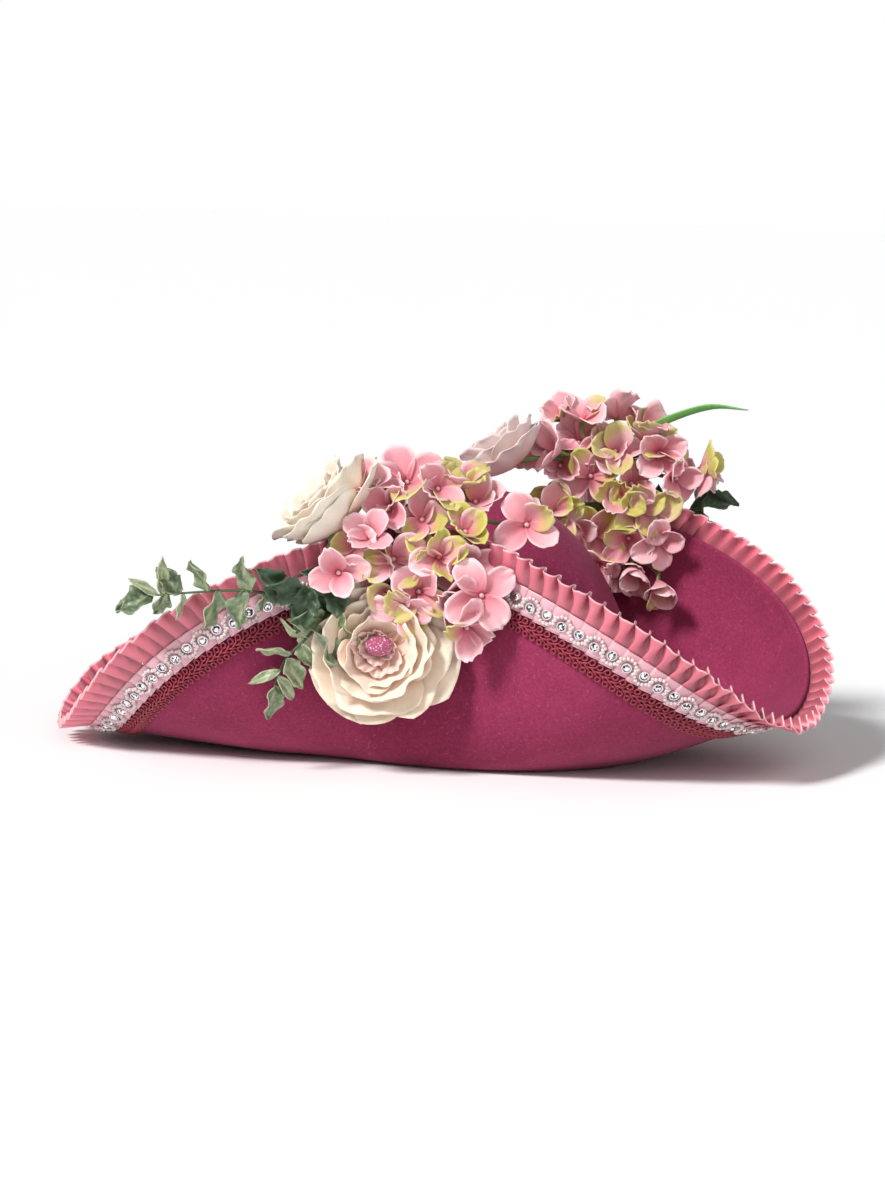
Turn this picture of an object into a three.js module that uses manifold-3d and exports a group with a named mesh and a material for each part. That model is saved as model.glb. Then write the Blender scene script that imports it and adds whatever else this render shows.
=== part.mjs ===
import * as THREE from 'three';
import { mergeVertices } from 'three/addons/utils/BufferGeometryUtils.js';
import Module from 'manifold-3d';

const wasm = await Module();
wasm.setup();

// A felt tricorn hat: crown and folded brim in one blocked felt, a pleated ruffle, a stone and pearl
// ribbon and a scroll braid round its rim, and two sprays of cloth flowers on its side flaps.
// The hat's front points along -Y, and it stands on the ring of felt round its head opening.

// Felt, millimetres
const FELT_THICKNESS = 2.5;
const OPENING_HALF_WIDTH = 81.5;
const OPENING_HALF_LENGTH = 94;
const SEAT_WIDTH = 5;
const CROWN_HEIGHT = 135;
const CORNER_REACH = 204;
const FLAP_HEIGHT = 117;
const BELLY_REACH = 30;
const LIP_HOLD = 0.5;

// Trims, millimetres: each width runs down the outside of the brim, square to its rim
const SEAM_GAP = 0.3;
const RUFFLE_STAND = 11.5;
const RUFFLE_HEADER = 2.5;
const RUFFLE_THICKNESS = 0.8;
const PLEAT_DEPTH = 3.2;
const PEARL_BAND_WIDTH = 13.7;
const PEARL_BAND_EDGE = 0.9;
const PEARL_HEIGHT = 3.2;
const GIMP_WIDTH = 9.5;
const GIMP_EDGE = 1.3;
const GIMP_HEIGHT = 2.3;

// Flowers, millimetres
const SPRAY_SPREAD = 60;
const PEONY_RADIUS = 38;
const PEONY_DEPTH = 27;
const PEONY_STEM = 4;
const FLORET_RADIUS = 15.5;
const FLORET_DEPTH = 5;
const FLORET_STEM = 2.2;
const STALK_THICKNESS = 7;
const TWIG_THICKNESS = 2;
const LEAF_LENGTH = 21;
const LEAF_THICKNESS = 1.2;
const BLADE_WIDTH = 5;
const BLADE_THICKNESS = 1;

// How finely the rim is divided: two pleats of the ruffle stand on each column
const COLUMNS = 64;
const PLEATS_PER_COLUMN = 2;

// Folds of the brim in order round the hat, counted from the front towards +X, degrees.
// reach: rim from the crown's axis, share of CORNER_REACH. height: rim over the seat, share of
// FLAP_HEIGHT. lip: slope of the brim at its rim, degrees. rise: where the brim starts to turn up,
// share of the rim's height. belly: how far it runs out from the seat, share of BELLY_REACH.
const FOLDS = [
  { name: 'front', corner: true, angle: 0, reach: 0.877, height: 0.256, lip: 17, rise: 0.27, belly: 0.9 },
  { name: 'side', corner: false, angle: 76, reach: 0.486, height: 1.0, lip: 95, rise: 0.05, belly: 0.3 },
  { name: 'rear', corner: true, angle: 142.5, reach: 1.0, height: 0.084, lip: 10, rise: 0.0, belly: 0.9 },
  { name: 'back', corner: false, angle: 180, reach: 0.66, height: 0.44, lip: 82, rise: 0.0, belly: 1.0 },
  { name: 'rear', corner: true, angle: 217.5, reach: 1.0, height: 0.084, lip: 10, rise: 0.0, belly: 1.4 },
  { name: 'side', corner: false, angle: 285, reach: 0.531, height: 0.974, lip: 84, rise: 0.04, belly: 0.95 },
];

// How a corner gives way to the flap beside it: reach spreads the corner along the rim, and height
// and lip are powers of a cosine blend
const TURNS = {
  front: { reach: 1.42, height: 1.42, lip: 3.7 },
  side: { reach: 1.57, height: 1.56, lip: 2.5 },
  back: { reach: 1.0, height: 1.9, lip: 3.0 },
};

// The crown's outside, from its foot to its top: shares of CROWN_HEIGHT and of the foot's radius
const CROWN_PROFILE = [
  { height: 0.05, radius: 0.997 },
  { height: 0.2, radius: 0.968 },
  { height: 0.4, radius: 0.892 },
  { height: 0.58, radius: 0.787 },
  { height: 0.74, radius: 0.655 },
  { height: 0.87, radius: 0.475 },
  { height: 0.96, radius: 0.27 },
];

const NEAR = 'near';
const FAR = 'far';

// Places on the sprays follow the brim. along: share of the rim's length from the front towards +X.
// down: below the rim, and out: off the outside of the felt, both shares of SPRAY_SPREAD; a negative
// down stands above the rim and a negative out lies on the crown's side. turn and tilt: the way a
// bloom faces, degrees round from +X and up. size: share of PEONY_RADIUS or FLORET_RADIUS.
const PEONIES = {
  front: {
    bloom: { along: 0.794, down: 0.85, out: 0.04, turn: 209, tilt: 4, size: 1.0 },
    stem: [{ along: 0.792, down: 0.6, out: 0.06 }, { along: 0.79, down: 0.42, out: 0.03 }],
  },
  upper: {
    bloom: { along: 0.772, down: -0.44, out: 0.0, turn: 165, tilt: 42, size: 0.86 },
    stem: [{ along: 0.778, down: -0.14, out: 0.15 }, { along: 0.78, down: 0.14, out: 0.03 }],
  },
  pale: {
    bloom: { along: 0.1905, down: -0.6, out: -1.02, turn: 168, tilt: 30, size: 0.66 },
    stem: [{ along: 0.186, down: -0.56, out: -0.6 }, { along: 0.1815, down: -0.44, out: -0.29 }],
  },
};
const NEAR_STALK = [
  { along: 0.806, down: 0.2, out: 0.13 },
  { along: 0.808, down: -0.1, out: 0.14 },
  { along: 0.81, down: -0.36, out: 0.04 },
];
const FAR_STALK = [
  { along: 0.172, down: 0.24, out: -0.15 },
  { along: 0.176, down: -0.12, out: -0.16 },
  { along: 0.18, down: -0.5, out: -0.3 },
];
const FLORETS = [
  { spray: NEAR, foot: 0, along: 0.779, down: 0.06, out: 0.2, turn: 204, tilt: 8, size: 0.95 },
  { spray: NEAR, foot: 1, along: 0.803, down: 0.02, out: 0.3, turn: 208, tilt: 14, size: 1.05 },
  { spray: NEAR, foot: 1, along: 0.828, down: 0.0, out: 0.26, turn: 214, tilt: 18, size: 1.0 },
  { spray: NEAR, foot: 0, along: 0.82, down: 0.3, out: 0.34, turn: 210, tilt: 0, size: 1.0 },
  { spray: NEAR, foot: 0, along: 0.851, down: 0.21, out: 0.2, turn: 214, tilt: 8, size: 1.1 },
  { spray: NEAR, foot: 0, along: 0.849, down: 0.5, out: 0.26, turn: 220, tilt: -24, size: 0.95 },
  { spray: NEAR, foot: 2, along: 0.811, down: -0.56, out: 0.05, turn: 215, tilt: 42, size: 1.1 },
  { spray: NEAR, foot: 2, along: 0.803, down: -0.38, out: 0.16, turn: 205, tilt: 6, size: 0.9 },
  { spray: NEAR, foot: 2, along: 0.829, down: -0.52, out: -0.12, turn: 220, tilt: 70, size: 0.9 },
  { spray: FAR, foot: 2, along: 0.184, down: -0.64, out: -0.7, turn: 150, tilt: 20, size: 1.0 },
  { spray: FAR, foot: 2, along: 0.182, down: -0.9, out: -0.46, turn: 200, tilt: 66, size: 0.95 },
  { spray: FAR, foot: 2, along: 0.177, down: -0.9, out: -0.2, turn: 40, tilt: 58, size: 1.0 },
  { spray: FAR, foot: 2, along: 0.169, down: -0.74, out: -0.12, turn: 250, tilt: 66, size: 1.0 },
  { spray: FAR, foot: 2, along: 0.179, down: -0.4, out: -0.46, turn: 209, tilt: 5, size: 1.1 },
  { spray: FAR, foot: 1, along: 0.185, down: -0.07, out: -0.7, turn: 214, tilt: 2, size: 1.05 },
  { spray: FAR, foot: 0, along: 0.1775, down: 0.16, out: -0.4, turn: 212, tilt: -4, size: 1.1 },
  { spray: FAR, foot: 1, along: 0.188, down: 0.02, out: -0.98, turn: 190, tilt: 36, size: 1.0 },
  { spray: FAR, foot: 0, along: 0.1535, down: 0.1, out: -0.24, turn: 222, tilt: -8, size: 0.95 },
  { spray: FAR, foot: 0, along: 0.164, down: 0.42, out: -0.28, turn: 214, tilt: -34, size: 0.9 },
  { spray: FAR, foot: 2, along: 0.161, down: -0.47, out: 0.08, turn: 262, tilt: -6, size: 0.95 },
  { spray: FAR, foot: 2, along: 0.151, down: -0.53, out: 0.08, turn: 285, tilt: -8, size: 0.8 },
];

// Twigs: points of the stem in order, then leaves by their place on it (share of its length), side
// (degrees round the way out of the felt, from the stem's tip) and size (share of LEAF_LENGTH)
const TWIGS = {
  sprig_upper: {
    stem: [
      { along: 0.781, down: 0.16, out: 0.05 },
      { along: 0.759, down: 0.1, out: 0.17 },
      { along: 0.741, down: -0.12, out: 0.18 },
      { along: 0.717, down: -0.44, out: 0.2 },
    ],
    leaves: [
      { at: 0.2, side: 70, size: 1.1 },
      { at: 0.36, side: -75, size: 0.95 },
      { at: 0.5, side: 75, size: 0.85 },
      { at: 0.62, side: -70, size: 0.95 },
      { at: 0.74, side: 60, size: 0.8 },
      { at: 0.86, side: -60, size: 0.85 },
      { at: 0.97, side: 20, size: 0.9 },
    ],
  },
  sprig_lower: {
    stem: [
      { along: 0.777, down: 0.36, out: 0.04 },
      { along: 0.761, down: 0.5, out: 0.16 },
      { along: 0.7475, down: 0.62, out: 0.14 },
      { along: 0.736, down: 0.8, out: 0.12 },
    ],
    leaves: [
      { at: 0.15, side: 70, size: 1.25 },
      { at: 0.32, side: -70, size: 0.8 },
      { at: 0.5, side: 70, size: 0.9 },
      { at: 0.7, side: -60, size: 0.8 },
      { at: 0.95, side: 15, size: 0.9 },
    ],
  },
  leaves_far: {
    stem: [
      { along: 0.165, down: 0.12, out: 0.05 },
      { along: 0.154, down: -0.08, out: 0.17 },
      { along: 0.145, down: -0.26, out: 0.18 },
    ],
    leaves: [
      { at: 0.25, side: -65, size: 1.1 },
      { at: 0.6, side: 65, size: 1.1 },
      { at: 0.95, side: -10, size: 1.15 },
    ],
  },
};
const BLADE = [
  { along: 0.1795, down: -0.42, out: -0.27, width: 0.4 },
  { along: 0.172, down: -0.72, out: -0.14, width: 0.7 },
  { along: 0.164, down: -0.94, out: -0.1, width: 1 },
  { along: 0.152, down: -1.18, out: -0.08, width: 0.8 },
  { along: 0.1395, down: -1.29, out: -0.07, width: 0 },
];

const rad = THREE.MathUtils.degToRad;
const SEAT_HALF_WIDTH = OPENING_HALF_WIDTH + SEAT_WIDTH;
const SEAT_HALF_LENGTH = OPENING_HALF_LENGTH + SEAT_WIDTH;

// Direction in the ground plane at an angle from the front
function heading(angle) {
  return new THREE.Vector2(Math.cos(rad(angle - 90)), Math.sin(rad(angle - 90)));
}

// Radius of an oval with half width along X and half length along Y
function ovalRadius(angle, halfWidth, halfLength) {
  const along = heading(angle);
  return 1 / Math.hypot(along.x / halfWidth, along.y / halfLength);
}

// The brim's fold at an angle: each value runs from a corner's to the next flap's
function foldAt(angle) {
  const turned = THREE.MathUtils.euclideanModulo(angle, 360);
  const last = FOLDS.findLastIndex((fold) => fold.angle <= turned);
  const from = FOLDS[last];
  const to = FOLDS[(last + 1) % FOLDS.length];
  const end = last + 1 < FOLDS.length ? to.angle : to.angle + 360;
  const passed = (turned - from.angle) / (end - from.angle);
  const corner = from.corner ? from : to;
  const flap = from.corner ? to : from;
  const away = from.corner ? passed : 1 - passed;
  const turn = corner.name === 'front' ? TURNS.front : TURNS[flap.name];
  const near = (1 + Math.cos(Math.PI * away)) / 2;
  const blend = (key, share) => flap[key] + (corner[key] - flap[key]) * share;
  return {
    reach: CORNER_REACH * blend('reach', 1 - THREE.MathUtils.smootherstep(away ** turn.reach, 0, 1)),
    height: FLAP_HEIGHT * blend('height', near ** turn.height),
    lip: rad(blend('lip', near ** turn.lip)),
    rise: blend('rise', near ** 2),
    belly: BELLY_REACH * blend('belly', near ** 1.5),
  };
}

// A point on the outside of the brim: along runs from 0 at the seat to 1 at the rim
function brimPoint(angle, along) {
  const fold = foldAt(angle);
  const root = ovalRadius(angle, SEAT_HALF_WIDTH, SEAT_HALF_LENGTH);
  const lift = fold.height / Math.max(Math.sin(fold.lip), 0.01);
  const hold = Math.min(LIP_HOLD * Math.hypot(fold.reach - root, fold.height), 0.9 * lift);
  const section = new THREE.CubicBezierCurve(
    new THREE.Vector2(root, 0),
    new THREE.Vector2(root + fold.belly, fold.rise * fold.height),
    new THREE.Vector2(fold.reach - hold * Math.cos(fold.lip), fold.height - hold * Math.sin(fold.lip)),
    new THREE.Vector2(fold.reach, fold.height),
  );
  const at = section.getPoint(along);
  const out = heading(angle);
  return new THREE.Vector3(at.x * out.x, at.x * out.y, at.y);
}

// The brim's two directions and its outward normal at a point
function brimFrame(angle, along) {
  const round = brimPoint(angle + 0.2, along).sub(brimPoint(angle - 0.2, along)).divideScalar(0.4);
  const up = brimPoint(angle, along + 0.002).sub(brimPoint(angle, along - 0.002)).divideScalar(0.004);
  const normal = new THREE.Vector3().crossVectors(round, up).normalize();
  return { round, up, normal };
}

// Angles that divide the rim into equal lengths, starting at the front
function rimAngles(count) {
  const samples = 1440;
  const lengths = [0];
  let before = brimPoint(0, 1);
  for (let i = 1; i <= samples; i += 1) {
    const here = brimPoint((360 * i) / samples, 1);
    lengths.push(lengths[i - 1] + here.distanceTo(before));
    before = here;
  }
  const angles = [];
  let i = 0;
  for (let j = 0; j < count; j += 1) {
    const goal = (lengths[samples] * j) / count;
    while (lengths[i + 1] < goal) i += 1;
    const part = (goal - lengths[i]) / (lengths[i + 1] - lengths[i]);
    angles.push((360 * (i + part)) / samples);
  }
  return angles;
}

// Rows that the trims' edges lie on, measured down the outside of the brim from its rim
const PEARL_TOP = RUFFLE_HEADER + SEAM_GAP;
const PEARL_BOTTOM = PEARL_TOP + PEARL_BAND_WIDTH;
const GIMP_TOP = PEARL_BOTTOM + SEAM_GAP;
const GIMP_BOTTOM = GIMP_TOP + GIMP_WIDTH;
const TRIM_ROWS = [0, RUFFLE_HEADER + SEAM_GAP / 2, PEARL_BOTTOM + SEAM_GAP / 2, GIMP_BOTTOM + SEAM_GAP];
const BRIM_ROWS = [0.82, 0.62, 0.42, 0.2];

// One column of the brim: it leaves the rim square to it, passes under the trims and comes down to
// the seat. Each row has its place on the outside of the brim and the normal there.
function brimColumn(rimAngle) {
  const step = 1;
  const start = brimFrame(rimAngle, 1);
  const down = new THREE.Vector3().crossVectors(start.normal, start.round).normalize();
  if (down.dot(start.up) > 0) down.negate();
  const stand = down.clone().negate();
  const path = [{ angle: rimAngle, along: 1 }];
  const deepest = TRIM_ROWS[TRIM_ROWS.length - 1];
  const course = down.clone();
  for (let walked = 0; walked < deepest + step; walked += step) {
    const at = path[path.length - 1];
    const here = brimFrame(at.angle, at.along);
    course.addScaledVector(here.normal, -course.dot(here.normal)).normalize();
    const rr = here.round.dot(here.round);
    const ru = here.round.dot(here.up);
    const uu = here.up.dot(here.up);
    const cr = course.dot(here.round);
    const cu = course.dot(here.up);
    const whole = rr * uu - ru * ru;
    path.push({
      angle: at.angle + (step * (cr * uu - cu * ru)) / whole,
      along: at.along + (step * (cu * rr - cr * ru)) / whole,
    });
  }
  const places = TRIM_ROWS.map((depth) => {
    const i = Math.floor(depth / step);
    const part = depth / step - i;
    return {
      angle: path[i].angle + (path[i + 1].angle - path[i].angle) * part,
      along: path[i].along + (path[i + 1].along - path[i].along) * part,
    };
  });
  const under = places[places.length - 1];
  for (const share of BRIM_ROWS) {
    places.push({
      angle: rimAngle + (under.angle - rimAngle) * share ** 2,
      along: under.along * share,
    });
  }
  const rows = places.map(({ angle, along }) => ({
    point: brimPoint(angle, along),
    normal: brimFrame(angle, along).normal,
  }));
  return { rimAngle, stand, rows };
}

const brim = rimAngles(COLUMNS).map(brimColumn);

// A place on the brim's facets: across counts columns, depth runs down from the rim, and out is the
// distance outwards from the felt. A negative depth stands past the rim.
function onBrim(across, depth, out) {
  const left = brim[Math.floor(across) % COLUMNS];
  const right = brim[(Math.floor(across) + 1) % COLUMNS];
  const part = across - Math.floor(across);
  const last = TRIM_ROWS.length - 1;
  const row = Math.min(last - 1, Math.max(0, TRIM_ROWS.findLastIndex((edge) => edge <= depth)));
  const share = Math.max(0, (depth - TRIM_ROWS[row]) / (TRIM_ROWS[row + 1] - TRIM_ROWS[row]));
  const inColumn = (column) => {
    const upper = column.rows[row];
    const lower = column.rows[row + 1];
    const normal = upper.normal.clone().lerp(lower.normal, share);
    const point = upper.point.clone().lerp(lower.point, share).addScaledVector(normal, out);
    return depth < 0 ? point.addScaledVector(column.stand, -depth) : point;
  };
  return inColumn(left).lerp(inColumn(right), part);
}

// A closed body from points and triangles, with its faces turned outwards
function body(points, triangles) {
  let volume = 0;
  for (const [a, b, c] of triangles) {
    volume += points[a].dot(new THREE.Vector3().crossVectors(points[b], points[c])) / 6;
  }
  const facing = volume > 0 ? triangles : triangles.map(([a, b, c]) => [a, c, b]);
  const geometry = new THREE.BufferGeometry();
  geometry.setAttribute('position', new THREE.Float32BufferAttribute(points.flatMap((p) => p.toArray()), 3));
  geometry.setIndex(facing.flat());
  return geometry;
}

// A band round the hat: each section is a closed loop with the same number of points. In a pleated
// band both faces of the wall are split along the diagonal from the low fold, so that they bend alike.
function ringBody(sections, pleated = false) {
  const count = sections[0].length;
  const points = sections.flat();
  const triangles = [];
  for (let j = 0; j < sections.length; j += 1) {
    const next = (j + 1) % sections.length;
    for (let i = 0; i < count; i += 1) {
      const k = (i + 1) % count;
      const [a, b, c, d] = [j * count + i, next * count + i, next * count + k, j * count + k];
      const foldIsLow = j % 2 === 0;
      const outerHalf = i < count / 2;
      if (pleated && foldIsLow === outerHalf) {
        triangles.push([a, b, d], [b, c, d]);
      } else {
        triangles.push([a, b, c], [a, c, d]);
      }
    }
  }
  return body(points, triangles);
}

// A body between two poles: each section runs from near the first pole to near the last
function poledBody(first, sections, last) {
  const count = sections[0].length;
  const points = [...sections.flat(), first, last];
  const start = points.length - 2;
  const end = points.length - 1;
  const triangles = [];
  for (let j = 0; j < sections.length; j += 1) {
    const next = (j + 1) % sections.length;
    triangles.push([start, next * count, j * count]);
    triangles.push([end, j * count + count - 1, next * count + count - 1]);
    for (let i = 0; i < count - 1; i += 1) {
      triangles.push([j * count + i, next * count + i, next * count + i + 1]);
      triangles.push([j * count + i, next * count + i + 1, j * count + i + 1]);
    }
  }
  return body(points, triangles);
}

// Felt: inside of the crown, seat, outside of the brim, its inside and the outside of the crown
function feltBody() {
  const place = (angle, radius, height) => {
    const out = heading(angle);
    return new THREE.Vector3(out.x * radius, out.y * radius, height);
  };
  const sections = brim.map(({ rimAngle, rows }) => {
    const opening = ovalRadius(rimAngle, OPENING_HALF_WIDTH, OPENING_HALF_LENGTH);
    const foot = opening + FELT_THICKNESS;
    const section = [];
    for (const { height, radius } of CROWN_PROFILE.filter((row, i) => i % 2 === 0).reverse()) {
      const level = height * (CROWN_HEIGHT - FELT_THICKNESS);
      section.push(place(rimAngle, opening * radius, level));
    }
    section.push(place(rimAngle, opening, 0));
    section.push(place(rimAngle, ovalRadius(rimAngle, SEAT_HALF_WIDTH, SEAT_HALF_LENGTH), 0));
    for (const { point } of rows.slice().reverse()) {
      section.push(point);
    }
    for (const { point, normal } of rows.filter((row, i) => i !== 1)) {
      section.push(point.clone().addScaledVector(normal, -FELT_THICKNESS));
    }
    for (const { height, radius } of CROWN_PROFILE) {
      section.push(place(rimAngle, foot * radius, height * CROWN_HEIGHT));
    }
    return section;
  });
  const top = new THREE.Vector3(0, 0, CROWN_HEIGHT);
  const ceiling = new THREE.Vector3(0, 0, CROWN_HEIGHT - FELT_THICKNESS);
  return poledBody(ceiling, sections, top);
}

// Ruffle: a ribbon in pleats, held flat at its header and opening past the rim
function ruffleBody() {
  const sections = [];
  const perColumn = 2 * PLEATS_PER_COLUMN;
  for (let k = 0; k < COLUMNS * perColumn; k += 1) {
    const across = k / perColumn;
    const fold = k % 2 === 0 ? SEAM_GAP : SEAM_GAP + PLEAT_DEPTH;
    sections.push([
      onBrim(across, RUFFLE_HEADER, SEAM_GAP),
      onBrim(across, RUFFLE_HEADER, SEAM_GAP + RUFFLE_THICKNESS),
      onBrim(across, -RUFFLE_STAND, fold + RUFFLE_THICKNESS),
      onBrim(across, -RUFFLE_STAND, fold),
    ]);
  }
  return ringBody(sections, true);
}

// Ribbon band under the ruffle, raised where its stones and pearls stand
function pearlBody() {
  const sections = brim.map((column, j) => {
    const at = (share, out) => onBrim(j, PEARL_TOP + PEARL_BAND_WIDTH * share, SEAM_GAP + out);
    return [
      at(0, 0),
      at(0, PEARL_BAND_EDGE),
      at(0.28, PEARL_HEIGHT),
      at(0.72, PEARL_HEIGHT),
      at(1, PEARL_BAND_EDGE),
      at(1, 0),
    ];
  });
  return ringBody(sections);
}

// Scroll braid, a low dome along the lower edge of the ribbon band
function gimpBody() {
  const sections = brim.map((column, j) => {
    const at = (share, out) => onBrim(j, GIMP_TOP + GIMP_WIDTH * share, SEAM_GAP + out);
    return [at(0, 0), at(0, GIMP_EDGE), at(0.5, GIMP_HEIGHT), at(1, GIMP_EDGE), at(1, 0)];
  });
  return ringBody(sections);
}

// A closed solid from a geometry, for joining and cutting
function solidOf(geometry) {
  const bare = geometry.clone();
  bare.deleteAttribute('normal');
  bare.deleteAttribute('uv');
  const merged = mergeVertices(bare, 1e-4);
  const vertProperties = new Float32Array(merged.attributes.position.array);
  const triVerts = new Uint32Array(merged.index.array);
  return new wasm.Manifold(new wasm.Mesh({ numProp: 3, vertProperties, triVerts }));
}

function geometryOf(solid) {
  const mesh = solid.getMesh();
  const geometry = new THREE.BufferGeometry();
  geometry.setAttribute('position', new THREE.Float32BufferAttribute(mesh.vertProperties, 3));
  geometry.setIndex(Array.from(mesh.triVerts));
  return geometry;
}

// The room that a solid takes with the seam gap all round it
function withGap(solid) {
  const ways = [[0, 0, 0], [1, 0, 0], [-1, 0, 0], [0, 1, 0], [0, -1, 0], [0, 0, 1], [0, 0, -1]];
  const room = wasm.Manifold.union(ways.map((way) => solid.translate(way.map((part) => part * SEAM_GAP))));
  return solidOf(geometryOf(room));
}

// The largest piece of a cut solid
function largest(solid) {
  return solid.decompose().reduce((best, next) => (next.volume() > best.volume() ? next : best));
}

function placeOf({ along, down, out }) {
  return onBrim(along * COLUMNS, down * SPRAY_SPREAD, out * SPRAY_SPREAD);
}

// Frame with its Z along the way a bloom faces, at its place
function bloomFrame(bloom, spin = 0) {
  const turn = rad(bloom.turn);
  const tilt = rad(bloom.tilt);
  const level = Math.cos(tilt);
  const z = new THREE.Vector3(level * Math.cos(turn), level * Math.sin(turn), Math.sin(tilt));
  const x = new THREE.Vector3(-Math.sin(turn), Math.cos(turn), 0);
  const y = new THREE.Vector3().crossVectors(z, x);
  const frame = new THREE.Matrix4().makeBasis(x, y, z);
  return frame.multiply(new THREE.Matrix4().makeRotationZ(rad(spin))).setPosition(placeOf(bloom));
}

// Peony: rings of petals from its heart to its outer leaves and round to its back. radius and
// height are shares of the bloom's, and wave is how much the petals' edges swing.
const PETAL_RINGS = [
  { radius: 0.16, height: 0.72, wave: 0 },
  { radius: 0.28, height: 0.52, wave: 0.02 },
  { radius: 0.46, height: 0.9, wave: 0.05 },
  { radius: 0.56, height: 0.58, wave: 0.05 },
  { radius: 0.78, height: 0.92, wave: 0.07 },
  { radius: 0.86, height: 0.6, wave: 0.06 },
  { radius: 1, height: 0.66, wave: 0.08 },
  { radius: 0.9, height: 0.4, wave: 0.08 },
  { radius: 0.5, height: 0.1, wave: 0 },
];
const PETAL_COLUMNS = 16;
const PETALS_ROUND = 5;

function peonySolid({ bloom, stem }) {
  const radius = PEONY_RADIUS * bloom.size;
  const depth = PEONY_DEPTH * bloom.size;
  const sections = [];
  for (let j = 0; j < PETAL_COLUMNS; j += 1) {
    const angle = (2 * Math.PI * j) / PETAL_COLUMNS;
    sections.push(PETAL_RINGS.map((ring, i) => {
      const swing = ring.wave * Math.cos(PETALS_ROUND * angle + i * 1.3);
      const reach = radius * (ring.radius + swing);
      const rise = depth * (ring.height + swing);
      return new THREE.Vector3(reach * Math.cos(angle), reach * Math.sin(angle), rise);
    }));
  }
  const heart = new THREE.Vector3(0, 0, depth * 0.62);
  const back = new THREE.Vector3(0, 0, 0);
  const frame = bloomFrame(bloom);
  const bloomBody = solidOf(poledBody(heart, sections, back).applyMatrix4(frame));
  const root = new THREE.Vector3(0, 0, depth * 0.2).applyMatrix4(frame);
  return bloomBody.add(stemSolid([root, ...stem.map(placeOf)], PEONY_STEM, 5, 4));
}

// Floret: four cupped petals that run back to a short throat
function floretGeometry(bloom, spin) {
  const radius = FLORET_RADIUS * bloom.size;
  const outline = [];
  for (let k = 0; k < 4; k += 1) {
    for (const [angle, share, rise] of [[-32, 1, 0.3], [32, 1, 0.3], [45, 0.44, 0]]) {
      const at = rad(90 * k + angle);
      const reach = radius * share;
      outline.push(new THREE.Vector3(reach * Math.cos(at), reach * Math.sin(at), FLORET_DEPTH * rise));
    }
  }
  const heart = outline.length;
  const points = [...outline, new THREE.Vector3(0, 0, FLORET_DEPTH * 0.1)];
  points.push(new THREE.Vector3(0, 0, -FLORET_DEPTH));
  const triangles = [];
  for (let i = 0; i < heart; i += 1) {
    const next = (i + 1) % heart;
    triangles.push([i, next, heart]);
    triangles.push([next, i, heart + 1]);
  }
  return body(points, triangles).applyMatrix4(bloomFrame(bloom, spin));
}

// A stem of a given thickness through points
function stemSolid(points, thickness, sides, steps) {
  const outline = new THREE.Shape();
  for (let i = 0; i < sides; i += 1) {
    const angle = (2 * Math.PI * i) / sides;
    const x = (thickness / 2) * Math.cos(angle);
    const y = (thickness / 2) * Math.sin(angle);
    if (i === 0) outline.moveTo(x, y);
    else outline.lineTo(x, y);
  }
  outline.closePath();
  const extrudePath = new THREE.CatmullRomCurve3(points);
  return solidOf(new THREE.ExtrudeGeometry(outline, { steps, extrudePath, bevelEnabled: false }));
}

// All florets of one spray with their stems and stalk
function hydrangeaSolid(spray, stalk) {
  const feet = stalk.map(placeOf);
  let cluster = stemSolid(feet, STALK_THICKNESS, 6, 4);
  FLORETS.filter((bloom) => bloom.spray === spray).forEach((bloom, i) => {
    const frame = bloomFrame(bloom);
    const throat = new THREE.Vector3(0, 0, -FLORET_DEPTH * 0.7).applyMatrix4(frame);
    const curl = new THREE.Vector3(0, 0, -FLORET_DEPTH * 1.6).applyMatrix4(frame);
    cluster = cluster.add(solidOf(floretGeometry(bloom, 37 * i)));
    cluster = cluster.add(stemSolid([throat, curl, feet[bloom.foot]], FLORET_STEM, 3, 2));
  });
  return cluster;
}

// Leaf: a thin pointed blade from its foot along a direction
function leafSolid(foot, direction, flat, length, width) {
  const across = new THREE.Vector3().crossVectors(direction, flat).normalize();
  const normal = new THREE.Vector3().crossVectors(across, direction).normalize();
  const at = (share, side, lift) => foot.clone()
    .addScaledVector(direction, length * share)
    .addScaledVector(across, width * side)
    .addScaledVector(normal, lift);
  const edge = [[0, 0], [0.3, 0.42], [0.62, 0.46], [1, 0], [0.62, -0.46], [0.3, -0.42]];
  const outline = edge.map(([share, side]) => at(share, side, 0));
  const points = [...outline, at(0.45, 0, LEAF_THICKNESS / 2), at(0.45, 0, -LEAF_THICKNESS / 2)];
  const triangles = [];
  for (let i = 0; i < 6; i += 1) {
    triangles.push([i, (i + 1) % 6, 6]);
    triangles.push([(i + 1) % 6, i, 7]);
  }
  return solidOf(body(points, triangles));
}

function twigSolid({ stem, leaves }) {
  const points = stem.map(placeOf);
  const curve = new THREE.CatmullRomCurve3(points);
  let twig = stemSolid(points, TWIG_THICKNESS, 5, 6);
  const middle = stem[Math.floor(stem.length / 2)];
  const outward = placeOf({ ...middle, out: middle.out + 0.1 }).sub(placeOf(middle)).normalize();
  for (const { at, side, size } of leaves) {
    const direction = curve.getTangentAt(at).applyAxisAngle(outward, rad(side));
    direction.addScaledVector(outward, 0.15).normalize();
    const foot = curve.getPointAt(at).addScaledVector(direction, -0.5);
    twig = twig.add(leafSolid(foot, direction, outward, LEAF_LENGTH * size, LEAF_LENGTH * size * 0.7));
  }
  return twig;
}

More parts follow.
